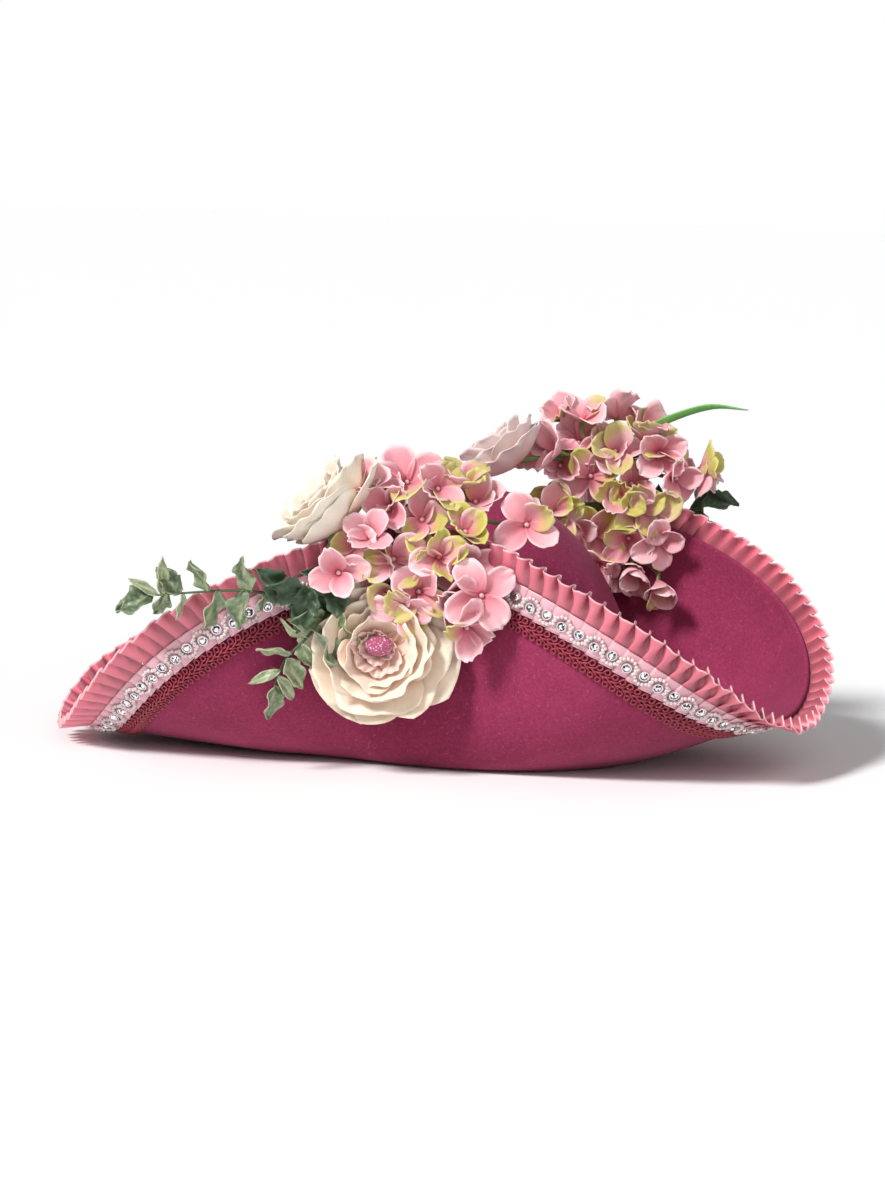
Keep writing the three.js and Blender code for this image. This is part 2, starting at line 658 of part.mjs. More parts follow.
// Grass blade: a long narrow leaf that stands out of the far spray
function bladeGeometry() {
  const points = BLADE.map(placeOf);
  const curve = new THREE.CatmullRomCurve3(points);
  const flat = new THREE.Vector3(0, 0, 1);
  const sections = [[], [], [], []];
  for (let i = 1; i < BLADE.length - 1; i += 1) {
    const tangent = curve.getTangent(i / (BLADE.length - 1));
    const across = new THREE.Vector3().crossVectors(tangent, flat).normalize();
    const half = (BLADE_WIDTH * BLADE[i].width) / 2;
    sections[0].push(points[i].clone().addScaledVector(across, half));
    sections[1].push(points[i].clone().addScaledVector(flat, BLADE_THICKNESS / 2));
    sections[2].push(points[i].clone().addScaledVector(across, -half));
    sections[3].push(points[i].clone().addScaledVector(flat, -BLADE_THICKNESS / 2));
  }
  return poledBody(points[0], sections, points[points.length - 1]);
}

// Simple room round the trims, which the flowers lie against
function trimRoom() {
  const sections = brim.map((column, j) => [
    onBrim(j, -RUFFLE_STAND - SEAM_GAP, -SEAM_GAP),
    onBrim(j, -RUFFLE_STAND - SEAM_GAP, PLEAT_DEPTH + RUFFLE_THICKNESS + 2 * SEAM_GAP),
    onBrim(j, PEARL_TOP, PEARL_HEIGHT + 2 * SEAM_GAP),
    onBrim(j, PEARL_BOTTOM, PEARL_HEIGHT + 2 * SEAM_GAP),
    onBrim(j, GIMP_BOTTOM, GIMP_HEIGHT + SEAM_GAP),
    onBrim(j, GIMP_BOTTOM + SEAM_GAP, -SEAM_GAP),
  ]);
  return solidOf(ringBody(sections));
}

const hat = new THREE.Group();

function addPiece(name, geometry, color, roughness, metalness = 0) {
  geometry.computeVertexNormals();
  const material = new THREE.MeshStandardMaterial({ color, roughness, metalness });
  const mesh = new THREE.Mesh(geometry, material);
  mesh.name = name;
  hat.add(mesh);
  return mesh;
}

const felt = feltBody();
addPiece('felt_body', felt, 0x9c3e63, 0.95);
addPiece('ruffle', ruffleBody(), 0xe08a93, 0.45);
addPiece('pearl_trim', pearlBody(), 0xf1d3d2, 0.35);
addPiece('gimp_braid', gimpBody(), 0x9e2038, 0.6);

// Each flower and sprig lies against what was placed before it
const rooms = [withGap(solidOf(felt)), trimRoom()];

function addSprayPiece(name, solid, color, roughness) {
  const geometry = geometryOf(largest(rooms.reduce((left, room) => left.subtract(room), solid)));
  rooms.push(withGap(solidOf(geometry)));
  return addPiece(name, geometry, color, roughness);
}

addSprayPiece('peony_front', peonySolid(PEONIES.front), 0xf4dcc0, 0.7);
addSprayPiece('peony_upper', peonySolid(PEONIES.upper), 0xf3e0c8, 0.7);
addSprayPiece('peony_pale', peonySolid(PEONIES.pale), 0xe9c9c6, 0.7);
addSprayPiece('hydrangea_near', hydrangeaSolid(NEAR, NEAR_STALK), 0xe89aa6, 0.7);
addSprayPiece('hydrangea_far', hydrangeaSolid(FAR, FAR_STALK), 0xd9a06e, 0.7);
addSprayPiece('sprig_upper', twigSolid(TWIGS.sprig_upper), 0x6f8f6c, 0.6);
addSprayPiece('sprig_lower', twigSolid(TWIGS.sprig_lower), 0x7f9d78, 0.6);
addSprayPiece('leaves_far', twigSolid(TWIGS.leaves_far), 0x24402c, 0.6);
addSprayPiece('grass_blade', solidOf(bladeGeometry()), 0x4c8a3a, 0.6);

// The origin is the middle of the hat's footprint, on the surface that it stands on
const bounds = new THREE.Box3().setFromObject(hat);
const middle = bounds.getCenter(new THREE.Vector3());
hat.position.set(-middle.x, -middle.y, -bounds.min.z);

export default hat;
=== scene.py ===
"""A felt tricorn, dressed with a pleated ribbon, stones and pearls, a scroll braid and cloth flowers."""

import math

import bpy
import numpy as np
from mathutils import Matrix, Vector


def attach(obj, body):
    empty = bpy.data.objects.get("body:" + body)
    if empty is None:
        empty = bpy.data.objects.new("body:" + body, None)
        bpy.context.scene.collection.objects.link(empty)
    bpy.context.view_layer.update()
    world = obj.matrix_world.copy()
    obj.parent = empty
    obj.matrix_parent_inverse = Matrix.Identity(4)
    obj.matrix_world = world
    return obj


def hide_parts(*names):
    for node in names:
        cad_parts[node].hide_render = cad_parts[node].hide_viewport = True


bl_info = {
    "name": "Tricorn Hat",
    "version": (1, 0, 0),
    "blender": (4, 5, 0),
    "location": "3D View > Sidebar > Tricorn Hat",
    "description": "Dresses a felt tricorn with ribbon, stones, braid and cloth flowers",
    "category": "Object",
}

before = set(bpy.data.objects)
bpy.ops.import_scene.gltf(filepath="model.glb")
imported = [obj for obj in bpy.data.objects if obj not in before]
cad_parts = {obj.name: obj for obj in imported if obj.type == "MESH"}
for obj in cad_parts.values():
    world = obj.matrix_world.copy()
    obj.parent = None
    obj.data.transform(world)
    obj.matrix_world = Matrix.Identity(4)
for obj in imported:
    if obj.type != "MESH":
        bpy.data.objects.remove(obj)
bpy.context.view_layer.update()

# The felt's shape, millimetres and degrees. Lengths in the table are shares of the sizes named here.
FELT_THICKNESS = 2.5
OPENING_HALF_WIDTH = 81.5
OPENING_HALF_LENGTH = 94.0
SEAT_WIDTH = 5.0
CROWN_HEIGHT = 135.0
CORNER_REACH = 204.0
FLAP_HEIGHT = 117.0
BELLY_REACH = 30.0
LIP_HOLD = 0.5
SPRAY_SPREAD = 60.0
PEONY_RADIUS = 38.0
PEONY_DEPTH = 27.0
FLORET_RADIUS = 15.5
LEAF_LENGTH = 21.0

# angle from the front, reach, height, lip, rise, belly; corners and flaps take turns
FOLDS = np.array(
    [
        (0.0, 0.877, 0.256, 17.0, 0.27, 0.9),
        (76.0, 0.486, 1.0, 95.0, 0.05, 0.3),
        (142.5, 1.0, 0.084, 10.0, 0.0, 0.9),
        (180.0, 0.66, 0.44, 82.0, 0.0, 1.0),
        (217.5, 1.0, 0.084, 10.0, 0.0, 1.4),
        (285.0, 0.531, 0.974, 84.0, 0.04, 0.95),
    ]
)
FRONT_TURN = (1.42, 1.42, 3.7)
SIDE_TURN = (1.57, 1.56, 2.5)
BACK_TURN = (1.0, 1.9, 3.0)
FLAP_TURNS = np.array([SIDE_TURN, SIDE_TURN, SIDE_TURN, BACK_TURN, BACK_TURN, SIDE_TURN])
CROWN_PROFILE = (
    (-0.02, 1.0),
    (0.05, 0.997),
    (0.2, 0.968),
    (0.4, 0.892),
    (0.58, 0.787),
    (0.74, 0.655),
    (0.87, 0.475),
    (0.96, 0.27),
    (1.0, 0.0),
    (0.96, -0.27),
)
COARSE_ROWS = (0.0, 2.65, 16.65, 26.6)
SEAM = 0.3

# Trims: where each lies down the outside of the felt from its rim, millimetres
RUFFLE_HEADER = 2.5
PEARL_TOP = 2.8
PEARL_WIDTH = 13.7
GIMP_MIDDLE = 21.55

# Knife pleats: how far each laps the next, and how much of it lies over the rest, as shares of a pleat
PLEAT_LAP = 0.36
PLEAT_RISE = 0.85
RUFFLE_ROWS = np.array([0.0, 0.1, 0.22, 0.36, 0.52, 0.68, 0.84, 0.95, 1.0])[:, None]
PALE_ROWS = np.array([0.0, 0.08, 0.3, 0.6, 0.85, 1.0])[:, None]

# Stones: where their line runs across the ribbon, how far they sway from it, and how high each sits
STONE_LINE = 0.52
STONE_SWAY = 0.7
STONE_LEVEL = 1.4
RIBBON_TOP = 1.15
CUP_RADIUS = 0.00262
CUP_HEIGHT = 0.0013
CUP_WALL = 0.00045
CUP_HOLLOW = 0.0007

# Seed pearls: a fan of them round each stone, its ends in degrees, its reach as a share of the
# distance between stones, and its depth and height in millimetres
FAN_PEARLS = 9
FAN_ENDS = (-12, 192)
FAN_REACH = 0.4838
FAN_DEPTH = 4.9
PEARL_LEVEL = 1.95

# One cord of the braid, millimetres along and across it: a slanting run, then a loop
BRAID_RUN_START = (-7.2, -0.35)
BRAID_RUN_END = (-2.2, 1.65)
BRAID_LOOP_MIDDLE = (-0.55, 3.0)
BRAID_LOOP_RADIUS = 1.4
# The dark strip under the cords, millimetres across and out: partly the braid's dark base thread, partly
# painted shade in the gaps between its loops
BRAID_BASE = np.array([(-3.5, 0.1), (-3.5, 0.5), (3.5, 0.5), (3.5, 0.1)])
BRAID_BASE_STEPS = 700

# Stray fibres on the felt
FIBRE_COLOUR = (0.6, 0.17, 0.27)

# The camera: degrees, metres, and its focal length in pixels of a frame 1200 high
CAMERA_AZIMUTH = -60.8
CAMERA_ELEVATION = 7.56
CAMERA_ROLL = 1.75
CAMERA_DISTANCE = 1.969
CAMERA_AIM = (-0.0081, 0.0145, 0.0745)
FOCAL_PIXELS = 3751.0
FRAME_PIXELS = 1200.0
SENSOR = 36.0

# The stage: the lights' places in metres, their strengths and their angles in degrees
LIGHTS = {
    "key": ((-1.25, 0.35, 1.2), 3.3, 14.0),
    "front": ((-0.9, -1.1, 0.9), 0.75, 50.0),
}
LIT_POINT = (0.0, 0.0, 0.07)
SURROUND_STRENGTH = 0.23
FLOOR_RADIUS = 9.0
WHITE = (1.0, 1.0, 1.0)

# Blooms: along the rim, down it and out of the felt (shares of SPRAY_SPREAD), the way each faces, size
PEONIES = {
    "peony_front": (0.794, 0.85, 0.09, 209.0, 4.0, 1.0),
    "peony_upper": (0.789, -0.26, 0.0, 122.0, 42.0, 0.86),
    "peony_pale": (0.189, -0.52, -1.02, 105.0, 48.0, 0.7),
}
PEONY_STEMS = {
    "peony_front": ((0.792, 0.6, 0.06), (0.79, 0.42, 0.03)),
    "peony_upper": ((0.778, -0.14, 0.15), (0.78, 0.14, 0.03)),
    "peony_pale": ((0.186, -0.56, -0.6), (0.1815, -0.44, -0.29)),
}
STALKS = {
    "hydrangea_near": ((0.806, 0.2, 0.13), (0.808, -0.1, 0.14), (0.81, -0.36, 0.04)),
    "hydrangea_far": ((0.172, 0.24, -0.15), (0.176, -0.12, -0.16), (0.18, -0.5, -0.3)),
}
# foot on the stalk, along, down, out, turn, tilt, size, spin, how open (0 a bud, 1 flat), tint
FLORETS = {
    "hydrangea_near": (
        (0, 0.779, 0.06, 0.2, 204, 8, 0.95, 20, 0.55, "rose"),
        (1, 0.803, 0.02, 0.3, 208, 14, 1.05, 40, 0.75, "lime"),
        (1, 0.828, 0.0, 0.26, 214, 18, 1.0, 10, 0.6, "lime"),
        (0, 0.82, 0.3, 0.34, 210, 0, 1.0, 55, 0.65, "mixed"),
        (0, 0.851, 0.21, 0.2, 214, 8, 1.1, 30, 0.85, "rose"),
        (0, 0.849, 0.5, 0.26, 220, -24, 0.95, 5, 0.45, "deep"),
        (2, 0.811, -0.56, 0.05, 215, 42, 1.1, 15, 0.6, "rose"),
        (2, 0.803, -0.38, 0.16, 205, 6, 0.9, 50, 0.5, "deep"),
        (2, 0.829, -0.52, -0.12, 220, 70, 0.9, 35, 0.4, "mixed"),
        (0, 0.813, 0.46, 0.36, 214, -22, 0.95, 20, 0.5, "mixed"),
        (1, 0.792, -0.2, 0.3, 200, 30, 0.85, 60, 0.5, "rose"),
        (2, 0.818, -0.28, 0.16, 212, 20, 0.85, 0, 0.55, "deep"),
        (2, 0.796, -0.56, 0.1, 196, 50, 0.85, 25, 0.5, "rose"),
        (2, 0.8046, -0.43, 0.06, 190, 40, 0.9, 10, 0.3, "deep"),
        (2, 0.8221, -0.52, 0.04, 235, 20, 0.95, 35, 0.3, "mixed"),
        (1, 0.7889, -0.14, 0.16, 182, 10, 0.85, 25, 0.35, "mixed"),
        (1, 0.796, 0.05, 0.16, 200, -10, 0.95, 70, 0.4, "rose"),
        (1, 0.8241, 0.06, 0.16, 215, -14, 0.95, 50, 0.35, "mixed"),
        (1, 0.8391, 0.04, 0.14, 232, 5, 0.95, 15, 0.4, "deep"),
        (0, 0.8385, 0.32, 0.24, 222, -16, 0.95, 65, 0.4, "rose"),
        (1, 0.8163, -0.21, 0.16, 205, 30, 0.95, 80, 0.45, "lime"),
        (1, 0.8355, -0.22, 0.1, 225, 34, 0.9, 20, 0.35, "lime"),
        (0, 0.8004, 0.29, 0.24, 195, -26, 0.9, 20, 0.35, "mixed"),
        (2, 0.8495, -0.32, -0.3, 212, 16, 1.05, 40, 0.55, "rose"),
        (2, 0.832, -0.4, -0.2, 220, 40, 0.95, 10, 0.45, "mixed"),
    ),
    "hydrangea_far": (
        (2, 0.184, -0.64, -0.7, 150, 20, 1.0, 15, 0.5, "rose"),
        (2, 0.182, -0.9, -0.46, 200, 66, 0.95, 40, 0.6, "rose"),
        (2, 0.177, -0.9, -0.2, 40, 58, 1.0, 20, 0.6, "rose"),
        (2, 0.169, -0.74, -0.12, 250, 66, 1.0, 55, 0.6, "mixed"),
        (2, 0.179, -0.4, -0.46, 209, 5, 1.1, 38, 0.85, "lime"),
        (1, 0.185, -0.07, -0.7, 214, 2, 1.05, 12, 0.65, "lime"),
        (0, 0.1775, 0.16, -0.4, 212, -4, 1.1, 44, 0.8, "lime"),
        (1, 0.188, 0.02, -0.98, 190, 36, 1.0, 30, 0.5, "rose"),
        (0, 0.1535, 0.1, -0.24, 222, -8, 0.95, 22, 0.7, "rose"),
        (0, 0.164, 0.42, -0.28, 214, -34, 0.9, 50, 0.4, "rose"),
        (2, 0.161, -0.47, 0.08, 262, -6, 0.95, 10, 0.5, "deep"),
        (2, 0.151, -0.53, 0.08, 285, -8, 0.8, 40, 0.4, "mixed"),
        (2, 0.1745, -0.62, -0.32, 222, 34, 1.0, 8, 0.6, "mixed"),
        (1, 0.164, -0.14, -0.3, 222, 6, 0.95, 33, 0.65, "lime"),
        (2, 0.186, -0.48, -0.56, 200, 18, 0.95, 60, 0.35, "deep"),
        (1, 0.169, -0.34, -0.24, 226, 16, 0.9, 48, 0.55, "rose"),
        (0, 0.1735, 0.42, -0.4, 208, -30, 0.8, 18, 0.4, "deep"),
        (2, 0.164, -0.66, -0.06, 236, 40, 0.9, 30, 0.5, "lime"),
        (2, 0.1886, -0.88, -0.4, 175, 48, 0.95, 25, 0.35, "mixed"),
        (2, 0.1696, -0.83, -0.1, 250, 50, 0.9, 10, 0.35, "deep"),
        (2, 0.1635, -0.64, -0.1, 215, 5, 0.95, 50, 0.4, "deep"),
        (2, 0.1564, -0.45, -0.05, 240, 0, 0.95, 30, 0.4, "rose"),
        (2, 0.1492, -0.6, 0.05, 290, 20, 0.9, 12, 0.35, "lime"),
        (2, 0.1948, -0.56, -0.55, 180, 10, 1.05, 45, 0.25, "rose"),
        (1, 0.1857, -0.15, -0.6, 195, 12, 1.0, 5, 0.35, "lime"),
        (1, 0.1867, 0.4, -0.6, 200, -30, 0.8, 15, 0.25, "deep"),
        (0, 0.1603, 0.4, -0.3, 216, -50, 0.95, 35, 0.25, "rose"),
        (0, 0.1461, 0.46, -0.28, 224, -44, 0.9, 60, 0.2, "mixed"),
        (1, 0.1624, -0.12, -0.25, 226, 0, 1.05, 20, 0.5, "mixed"),
        (1, 0.1709, -0.22, -0.35, 205, 14, 0.95, 65, 0.35, "lime"),
        (2, 0.185, -0.66, -0.35, 196, 30, 0.95, 40, 0.3, "rose"),
        (2, 0.1782, -0.59, -0.3, 215, 20, 0.95, 15, 0.35, "deep"),
        (0, 0.1651, 0.13, -0.3, 205, -20, 0.95, 55, 0.35, "rose"),
        (1, 0.1827, 0.13, -0.5, 200, -14, 0.95, 25, 0.35, "deep"),
    ),
}
# stem points, then leaves: place on the stem, side, size, kind
TWIGS = {
    "sprig_upper": {
        "stem": ((0.781, 0.16, 0.05), (0.759, 0.1, 0.17), (0.741, -0.12, 0.18), (0.717, -0.44, 0.2)),
        "leaves": (
            (0.04, 78, 1.05, "serrated"),
            (0.1, -60, 0.8, "serrated"),
            (0.2, 62, 1.1, "serrated"),
            (0.24, -28, 1.25, "serrated"),
            (0.34, -58, 0.95, "serrated"),
            (0.42, 66, 0.5, "round"),
            (0.5, -64, 0.9, "mottled"),
            (0.53, 84, 0.95, "mottled"),
            (0.66, 58, 1.0, "round"),
            (0.7, -72, 0.95, "round"),
            (0.84, 74, 0.7, "slender"),
            (0.86, -66, 0.8, "mottled"),
            (0.92, 52, 0.6, "mottled"),
            (0.93, -94, 1.0, "slender"),
            (0.97, -40, 0.8, "slender"),
            (0.99, 16, 0.95, "mottled"),
        ),
    },
    "sprig_lower": {
        "stem": ((0.777, 0.36, 0.04), (0.761, 0.5, 0.16), (0.7475, 0.62, 0.14), (0.736, 0.8, 0.12)),
        "leaves": (
            (0.05, -82, 0.85, "serrated"),
            (0.1, 74, 1.2, "variegated"),
            (0.2, -52, 1.05, "round"),
            (0.26, 58, 1.15, "mottled"),
            (0.42, -62, 0.8, "slender"),
            (0.5, 66, 0.75, "round"),
            (0.64, -70, 0.95, "slender"),
            (0.7, 62, 0.9, "round"),
            (0.84, -54, 0.85, "slender"),
            (0.88, 50, 1.0, "slender"),
            (0.98, 8, 0.9, "round"),
        ),
    },
    "leaves_far": {
        "stem": ((0.165, 0.12, 0.05), (0.154, -0.08, 0.17), (0.145, -0.26, 0.18)),
        "leaves": (
            (0.2, -65, 1.1, "serrated"),
            (0.4, 70, 0.9, "serrated"),
            (0.55, -80, 0.8, "serrated"),
            (0.65, 55, 1.1, "serrated"),
            (0.8, -45, 0.9, "serrated"),
            (0.97, 5, 1.1, "serrated"),
        ),
    },
}
BLADE = (
    (0.1795, -0.42, -0.27, 0.4),
    (0.172, -0.72, -0.14, 0.7),
    (0.164, -0.94, -0.1, 1.0),
    (0.152, -1.18, -0.08, 0.8),
    (0.1395, -1.29, -0.07, 0.0),
)


# Settings


def length(name, about, value, least=0.0):
    return bpy.props.FloatProperty(name=name, description=about, default=value, min=least, unit="LENGTH")


def colour(name, about, value):
    return bpy.props.FloatVectorProperty(
        name=name, description=about, default=value, min=0.0, max=1.0, size=3, subtype="COLOR"
    )


class HatSizes(bpy.types.PropertyGroup):
    """Sizes of the trims and flowers"""

    pleats: bpy.props.IntProperty(name="Pleats", description="Pleats round the rim", default=156, min=40)
    pleat_depth: length("Pleat depth", "How far an open pleat swings at the ribbon's edge", 0.0072)
    ribbon_thickness: length("Ribbon thickness", "Thickness of the satin", 0.0003)
    ruffle_stand: length("Ruffle stand", "How far the ribbon stands past the felt", 0.0115)
    stones: bpy.props.IntProperty(name="Stones", description="Stones round the rim", default=134, min=20)
    stone_radius: length("Stone radius", "Radius of a stone", 0.0021)
    pearl_radius: length("Pearl radius", "Radius of a seed pearl", 0.00108)
    braid_loops: bpy.props.IntProperty(name="Braid loops", description="Loops on an edge", default=272)
    braid_cord: length("Braid cord", "Radius of the braid's cord", 0.0006)
    petal_thickness: length("Petal thickness", "Thickness of a cloth petal", 0.00035)


class HatColours(bpy.types.PropertyGroup):
    """Colours of the felt, the ribbons and the flowers"""

    felt: colour("Felt", "Raspberry felt", (0.27, 0.03, 0.083))
    felt_shade: colour("Felt shade", "Deeper tone of the felt", (0.19, 0.019, 0.056))
    ruffle: colour("Ruffle", "Salmon pink satin", (0.66, 0.16, 0.215))
    ruffle_light: colour("Ruffle edge", "Looped edge of the satin", (0.9, 0.54, 0.57))
    pearl_ribbon: colour("Pale ribbon", "Satin under the stones", (0.78, 0.42, 0.48))
    gimp: colour("Braid", "Crimson rayon", (0.42, 0.012, 0.048))
    # Partly the braid's dark base thread, partly painted shade between its loops
    gimp_base_and_shade: colour("Braid base and shade", "Dark thread under the braid's cords", (0.045, 0.002, 0.008))
    grass: colour("Grass", "Grass blade", (0.1, 0.3, 0.06))


# The brim's surface


def unit(vectors):
    return vectors / np.maximum(np.linalg.norm(vectors, axis=-1, keepdims=True), 1e-12)


def heading(angle):
    turned = np.radians(np.asarray(angle, float) - 90.0)
    return np.stack([np.cos(turned), np.sin(turned)], -1)


def oval_radius(angle, half_width, half_length):
    along = heading(angle)
    return 1.0 / np.hypot(along[..., 0] / half_width, along[..., 1] / half_length)


def smootherstep(x):
    return x**3 * (x * (6 * x - 15) + 10)


def fold_at(angle):
    """Reach, height, lip, rise and belly of the brim at an angle from the front."""
    turned = np.mod(angle, 360.0)
    starts = FOLDS[:, 0]
    last = np.searchsorted(starts, turned, side="right") - 1
    following = (last + 1) % len(FOLDS)
    ends = np.where(last == len(FOLDS) - 1, 360.0, starts[following])
    passed = (turned - starts[last]) / (ends - starts[last])
    leaving = last % 2 == 0
    corner = np.where(leaving, last, following)
    flap = np.where(leaving, following, last)
    away = np.where(leaving, passed, 1 - passed)
    turn = np.where((corner == 0)[..., None], np.array(FRONT_TURN), FLAP_TURNS[flap])
    near = (1 + np.cos(np.pi * away)) / 2

    def blend(column, share):
        return FOLDS[flap, column] + (FOLDS[corner, column] - FOLDS[flap, column]) * share

    reach = CORNER_REACH * blend(1, 1 - smootherstep(away ** turn[..., 0]))
    height = FLAP_HEIGHT * blend(2, near ** turn[..., 1])
    lip = np.radians(blend(3, near ** turn[..., 2]))
    return reach, height, lip, blend(4, near**2), BELLY_REACH * blend(5, near**1.5)


def brim_point(angle, along):
    """A point on the outside of the brim: along runs from 0 at the seat to 1 at the rim."""
    angle, along = np.broadcast_arrays(np.asarray(angle, float), np.asarray(along, float))
    reach, height, lip, rise, belly = fold_at(angle)
    root = oval_radius(angle, OPENING_HALF_WIDTH + SEAT_WIDTH, OPENING_HALF_LENGTH + SEAT_WIDTH)
    lift = height / np.maximum(np.sin(lip), 0.01)
    hold = np.minimum(LIP_HOLD * np.hypot(reach - root, height), 0.9 * lift)
    a, b, c, d = (1 - along) ** 3, 3 * along * (1 - along) ** 2, 3 * along**2 * (1 - along), along**3
    radius = a * root + b * (root + belly) + c * (reach - hold * np.cos(lip)) + d * reach
    level = b * rise * height + c * (height - hold * np.sin(lip)) + d * height
    out = heading(angle)
    return np.stack([radius * out[..., 0], radius * out[..., 1], level], -1)


def brim_frame(angle, along):
    """The brim's two directions and its outward normal."""
    across = (brim_point(angle + 0.2, along) - brim_point(angle - 0.2, along)) / 0.4
    up = (brim_point(angle, along + 0.002) - brim_point(angle, along - 0.002)) / 0.004
    return across, up, unit(np.cross(across, up))


def rim_angles(count):
    samples = np.linspace(0.0, 360.0, 1441)
    steps = np.linalg.norm(np.diff(brim_point(samples, 1.0), axis=0), axis=-1)
    lengths = np.concatenate([[0.0], np.cumsum(steps)])
    return np.interp(lengths[-1] * np.arange(count) / count, lengths, samples)


class Brim:
    """Columns that leave the rim square to it and run down the outside of the felt."""

    def __init__(self, columns, depths):
        self.columns = columns
        self.depths = np.asarray(depths, float)
        self.rim = rim_angles(columns)
        angle, along = self.rim.copy(), np.ones(columns)
        across, up, normal = brim_frame(angle, along)
        down = unit(np.cross(normal, across))
        down = np.where((np.sum(down * up, -1) > 0)[:, None], -down, down)
        self.stand = -down
        course, path = down.copy(), [(angle, along)]
        for _ in range(int(self.depths[-1]) + 2):
            across, up, normal = brim_frame(angle, along)
            course = unit(course - normal * np.sum(course * normal, -1, keepdims=True))
            rr, ru, uu = (np.sum(x * y, -1) for x, y in ((across, across), (across, up), (up, up)))
            cr, cu = np.sum(course * across, -1), np.sum(course * up, -1)
            whole = rr * uu - ru * ru
            angle = angle + (cr * uu - cu * ru) / whole
            along = along + (cu * rr - cr * ru) / whole
            path.append((angle, along))
        angles = np.array([step[0] for step in path])
        alongs = np.array([step[1] for step in path])
        low = np.floor(self.depths).astype(int)
        part = (self.depths - low)[:, None]
        self.angle = angles[low] + (angles[low + 1] - angles[low]) * part
        self.along = alongs[low] + (alongs[low + 1] - alongs[low]) * part
        self.points = brim_point(self.angle, self.along)
        self.normals = brim_frame(self.angle, self.along)[2]

    def _mix(self, along, depth, value):
        across = np.mod(along, 1.0) * self.columns
        left = np.floor(across).astype(int) % self.columns
        right = (left + 1) % self.columns
        part = (across - np.floor(across))[..., None]
        row = np.clip(np.searchsorted(self.depths, depth, side="right") - 1, 0, len(self.depths) - 2)
        share = (depth - self.depths[row]) / (self.depths[row + 1] - self.depths[row])
        share = np.maximum(0.0, share)[..., None]
        return (1 - part) * value(left, row, share) + part * value(right, row, share)

    def at(self, along, depth, out=0.0):
        """Points at shares of the rim's length, depths down from the rim and distances off the felt."""
        along, depth, out = (np.asarray(x, float) for x in np.broadcast_arrays(along, depth, out))

        def value(column, row, share):
            normal = self.normals[row, column] * (1 - share) + self.normals[row + 1, column] * share
            point = self.points[row, column] * (1 - share) + self.points[row + 1, column] * share
            return point + normal * out[..., None] + self.stand[column] * np.maximum(-depth, 0.0)[..., None]

        return self._mix(along, depth, value)

    def normal(self, along, depth):
        along, depth = (np.asarray(x, float) for x in np.broadcast_arrays(along, depth))

        def value(column, row, share):
            return self.normals[row, column] * (1 - share) + self.normals[row + 1, column] * share

        return unit(self._mix(along, depth, value))


FINE = Brim(1024, np.arange(0.0, 28.5, 1.0))
COARSE = Brim(64, COARSE_ROWS)
RIM_LENGTH = float(np.sum(np.linalg.norm(np.diff(FINE.at(np.arange(1025) / 1024, 0.0), axis=0), axis=-1)))


def spray_place(place):
    return COARSE.at(place[0], place[1] * SPRAY_SPREAD, place[2] * SPRAY_SPREAD)


# The crown's highest point stands over the middle of the head opening
CROWN_TOP = max((v.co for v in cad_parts["felt_body"].data.vertices), key=lambda co: co.z)
HAT_MIDDLE = np.array([CROWN_TOP.x, CROWN_TOP.y, 0.0])


# Mesh helpers


def deselect():
    for thing in bpy.context.selected_objects:
        thing.select_set(False)


def select_only(thing):
    deselect()
    thing.select_set(True)
    bpy.context.view_layer.objects.active = thing


class Pile:
    """The points, faces, UVs and tints of one piece while it is put together."""

    def __init__(self):
        self.points, self.faces, self.uvs, self.tints, self.slots = [], [], [], [], []
        self.count = 0

    def add(self, points, faces, uv=None, tint=None, slot=0):
        points = np.asarray(points, float).reshape(-1, 3)
        size = len(points)
        self.points.append(points)
        self.faces += [[i + self.count for i in face] for face in faces]
        self.slots += [slot] * len(faces)
        self.uvs.append(np.zeros((size, 2)) if uv is None else np.asarray(uv, float).reshape(-1, 2))
        self.tints.append(np.ones((size, 3)) if tint is None else np.broadcast_to(tint, (size, 3)))
        self.count += size


def make_piece(name, pile, materials, stands_for=(), smooth=True):
    """A mesh in metres, in the hat's place, from millimetres round the head opening."""
    mesh = bpy.data.meshes.new(name)
    points = np.concatenate(pile.points) * 0.001 + HAT_MIDDLE
    mesh.from_pydata(points.tolist(), [], pile.faces)
    corners = np.empty(len(mesh.loops), dtype=np.int32)
    mesh.loops.foreach_get("vertex_index", corners)
    mesh.uv_layers.new(name="cloth").data.foreach_set("uv", np.concatenate(pile.uvs)[corners].ravel())
    tints = np.concatenate(pile.tints)
    attribute = mesh.attributes.new("tint", "FLOAT_COLOR", "POINT")
    attribute.data.foreach_set("color", np.hstack([tints, np.ones((len(tints), 1))]).ravel())
    for material in materials:
        mesh.materials.append(material)
    mesh.polygons.foreach_set("material_index", pile.slots)
    mesh.polygons.foreach_set("use_smooth", [smooth] * len(mesh.polygons))
    mesh.update()
    piece = bpy.data.objects.new(name, mesh)
    bpy.context.scene.collection.objects.link(piece)
    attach(piece, "root")
    if stands_for:
        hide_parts(*stands_for)
    return piece


def thicken(piece, thickness, offset=0.0):
    select_only(piece)
    bpy.ops.object.modifier_add(type="SOLIDIFY")
    wall = piece.modifiers[-1]
    wall.thickness, wall.offset, wall.use_even_offset = thickness, offset, False
    bpy.ops.object.modifier_apply(modifier=wall.name)


def grid_faces(rows, columns, wrap=False):
    """Squares of a grid whose points run row by row."""
    last = columns if wrap else columns - 1
    i, j = np.meshgrid(np.arange(rows - 1), np.arange(last), indexing="ij")
    k = (j + 1) % columns
    quads = np.stack([i * columns + j, i * columns + k, (i + 1) * columns + k, (i + 1) * columns + j], -1)
    return quads.reshape(-1, 4).tolist()


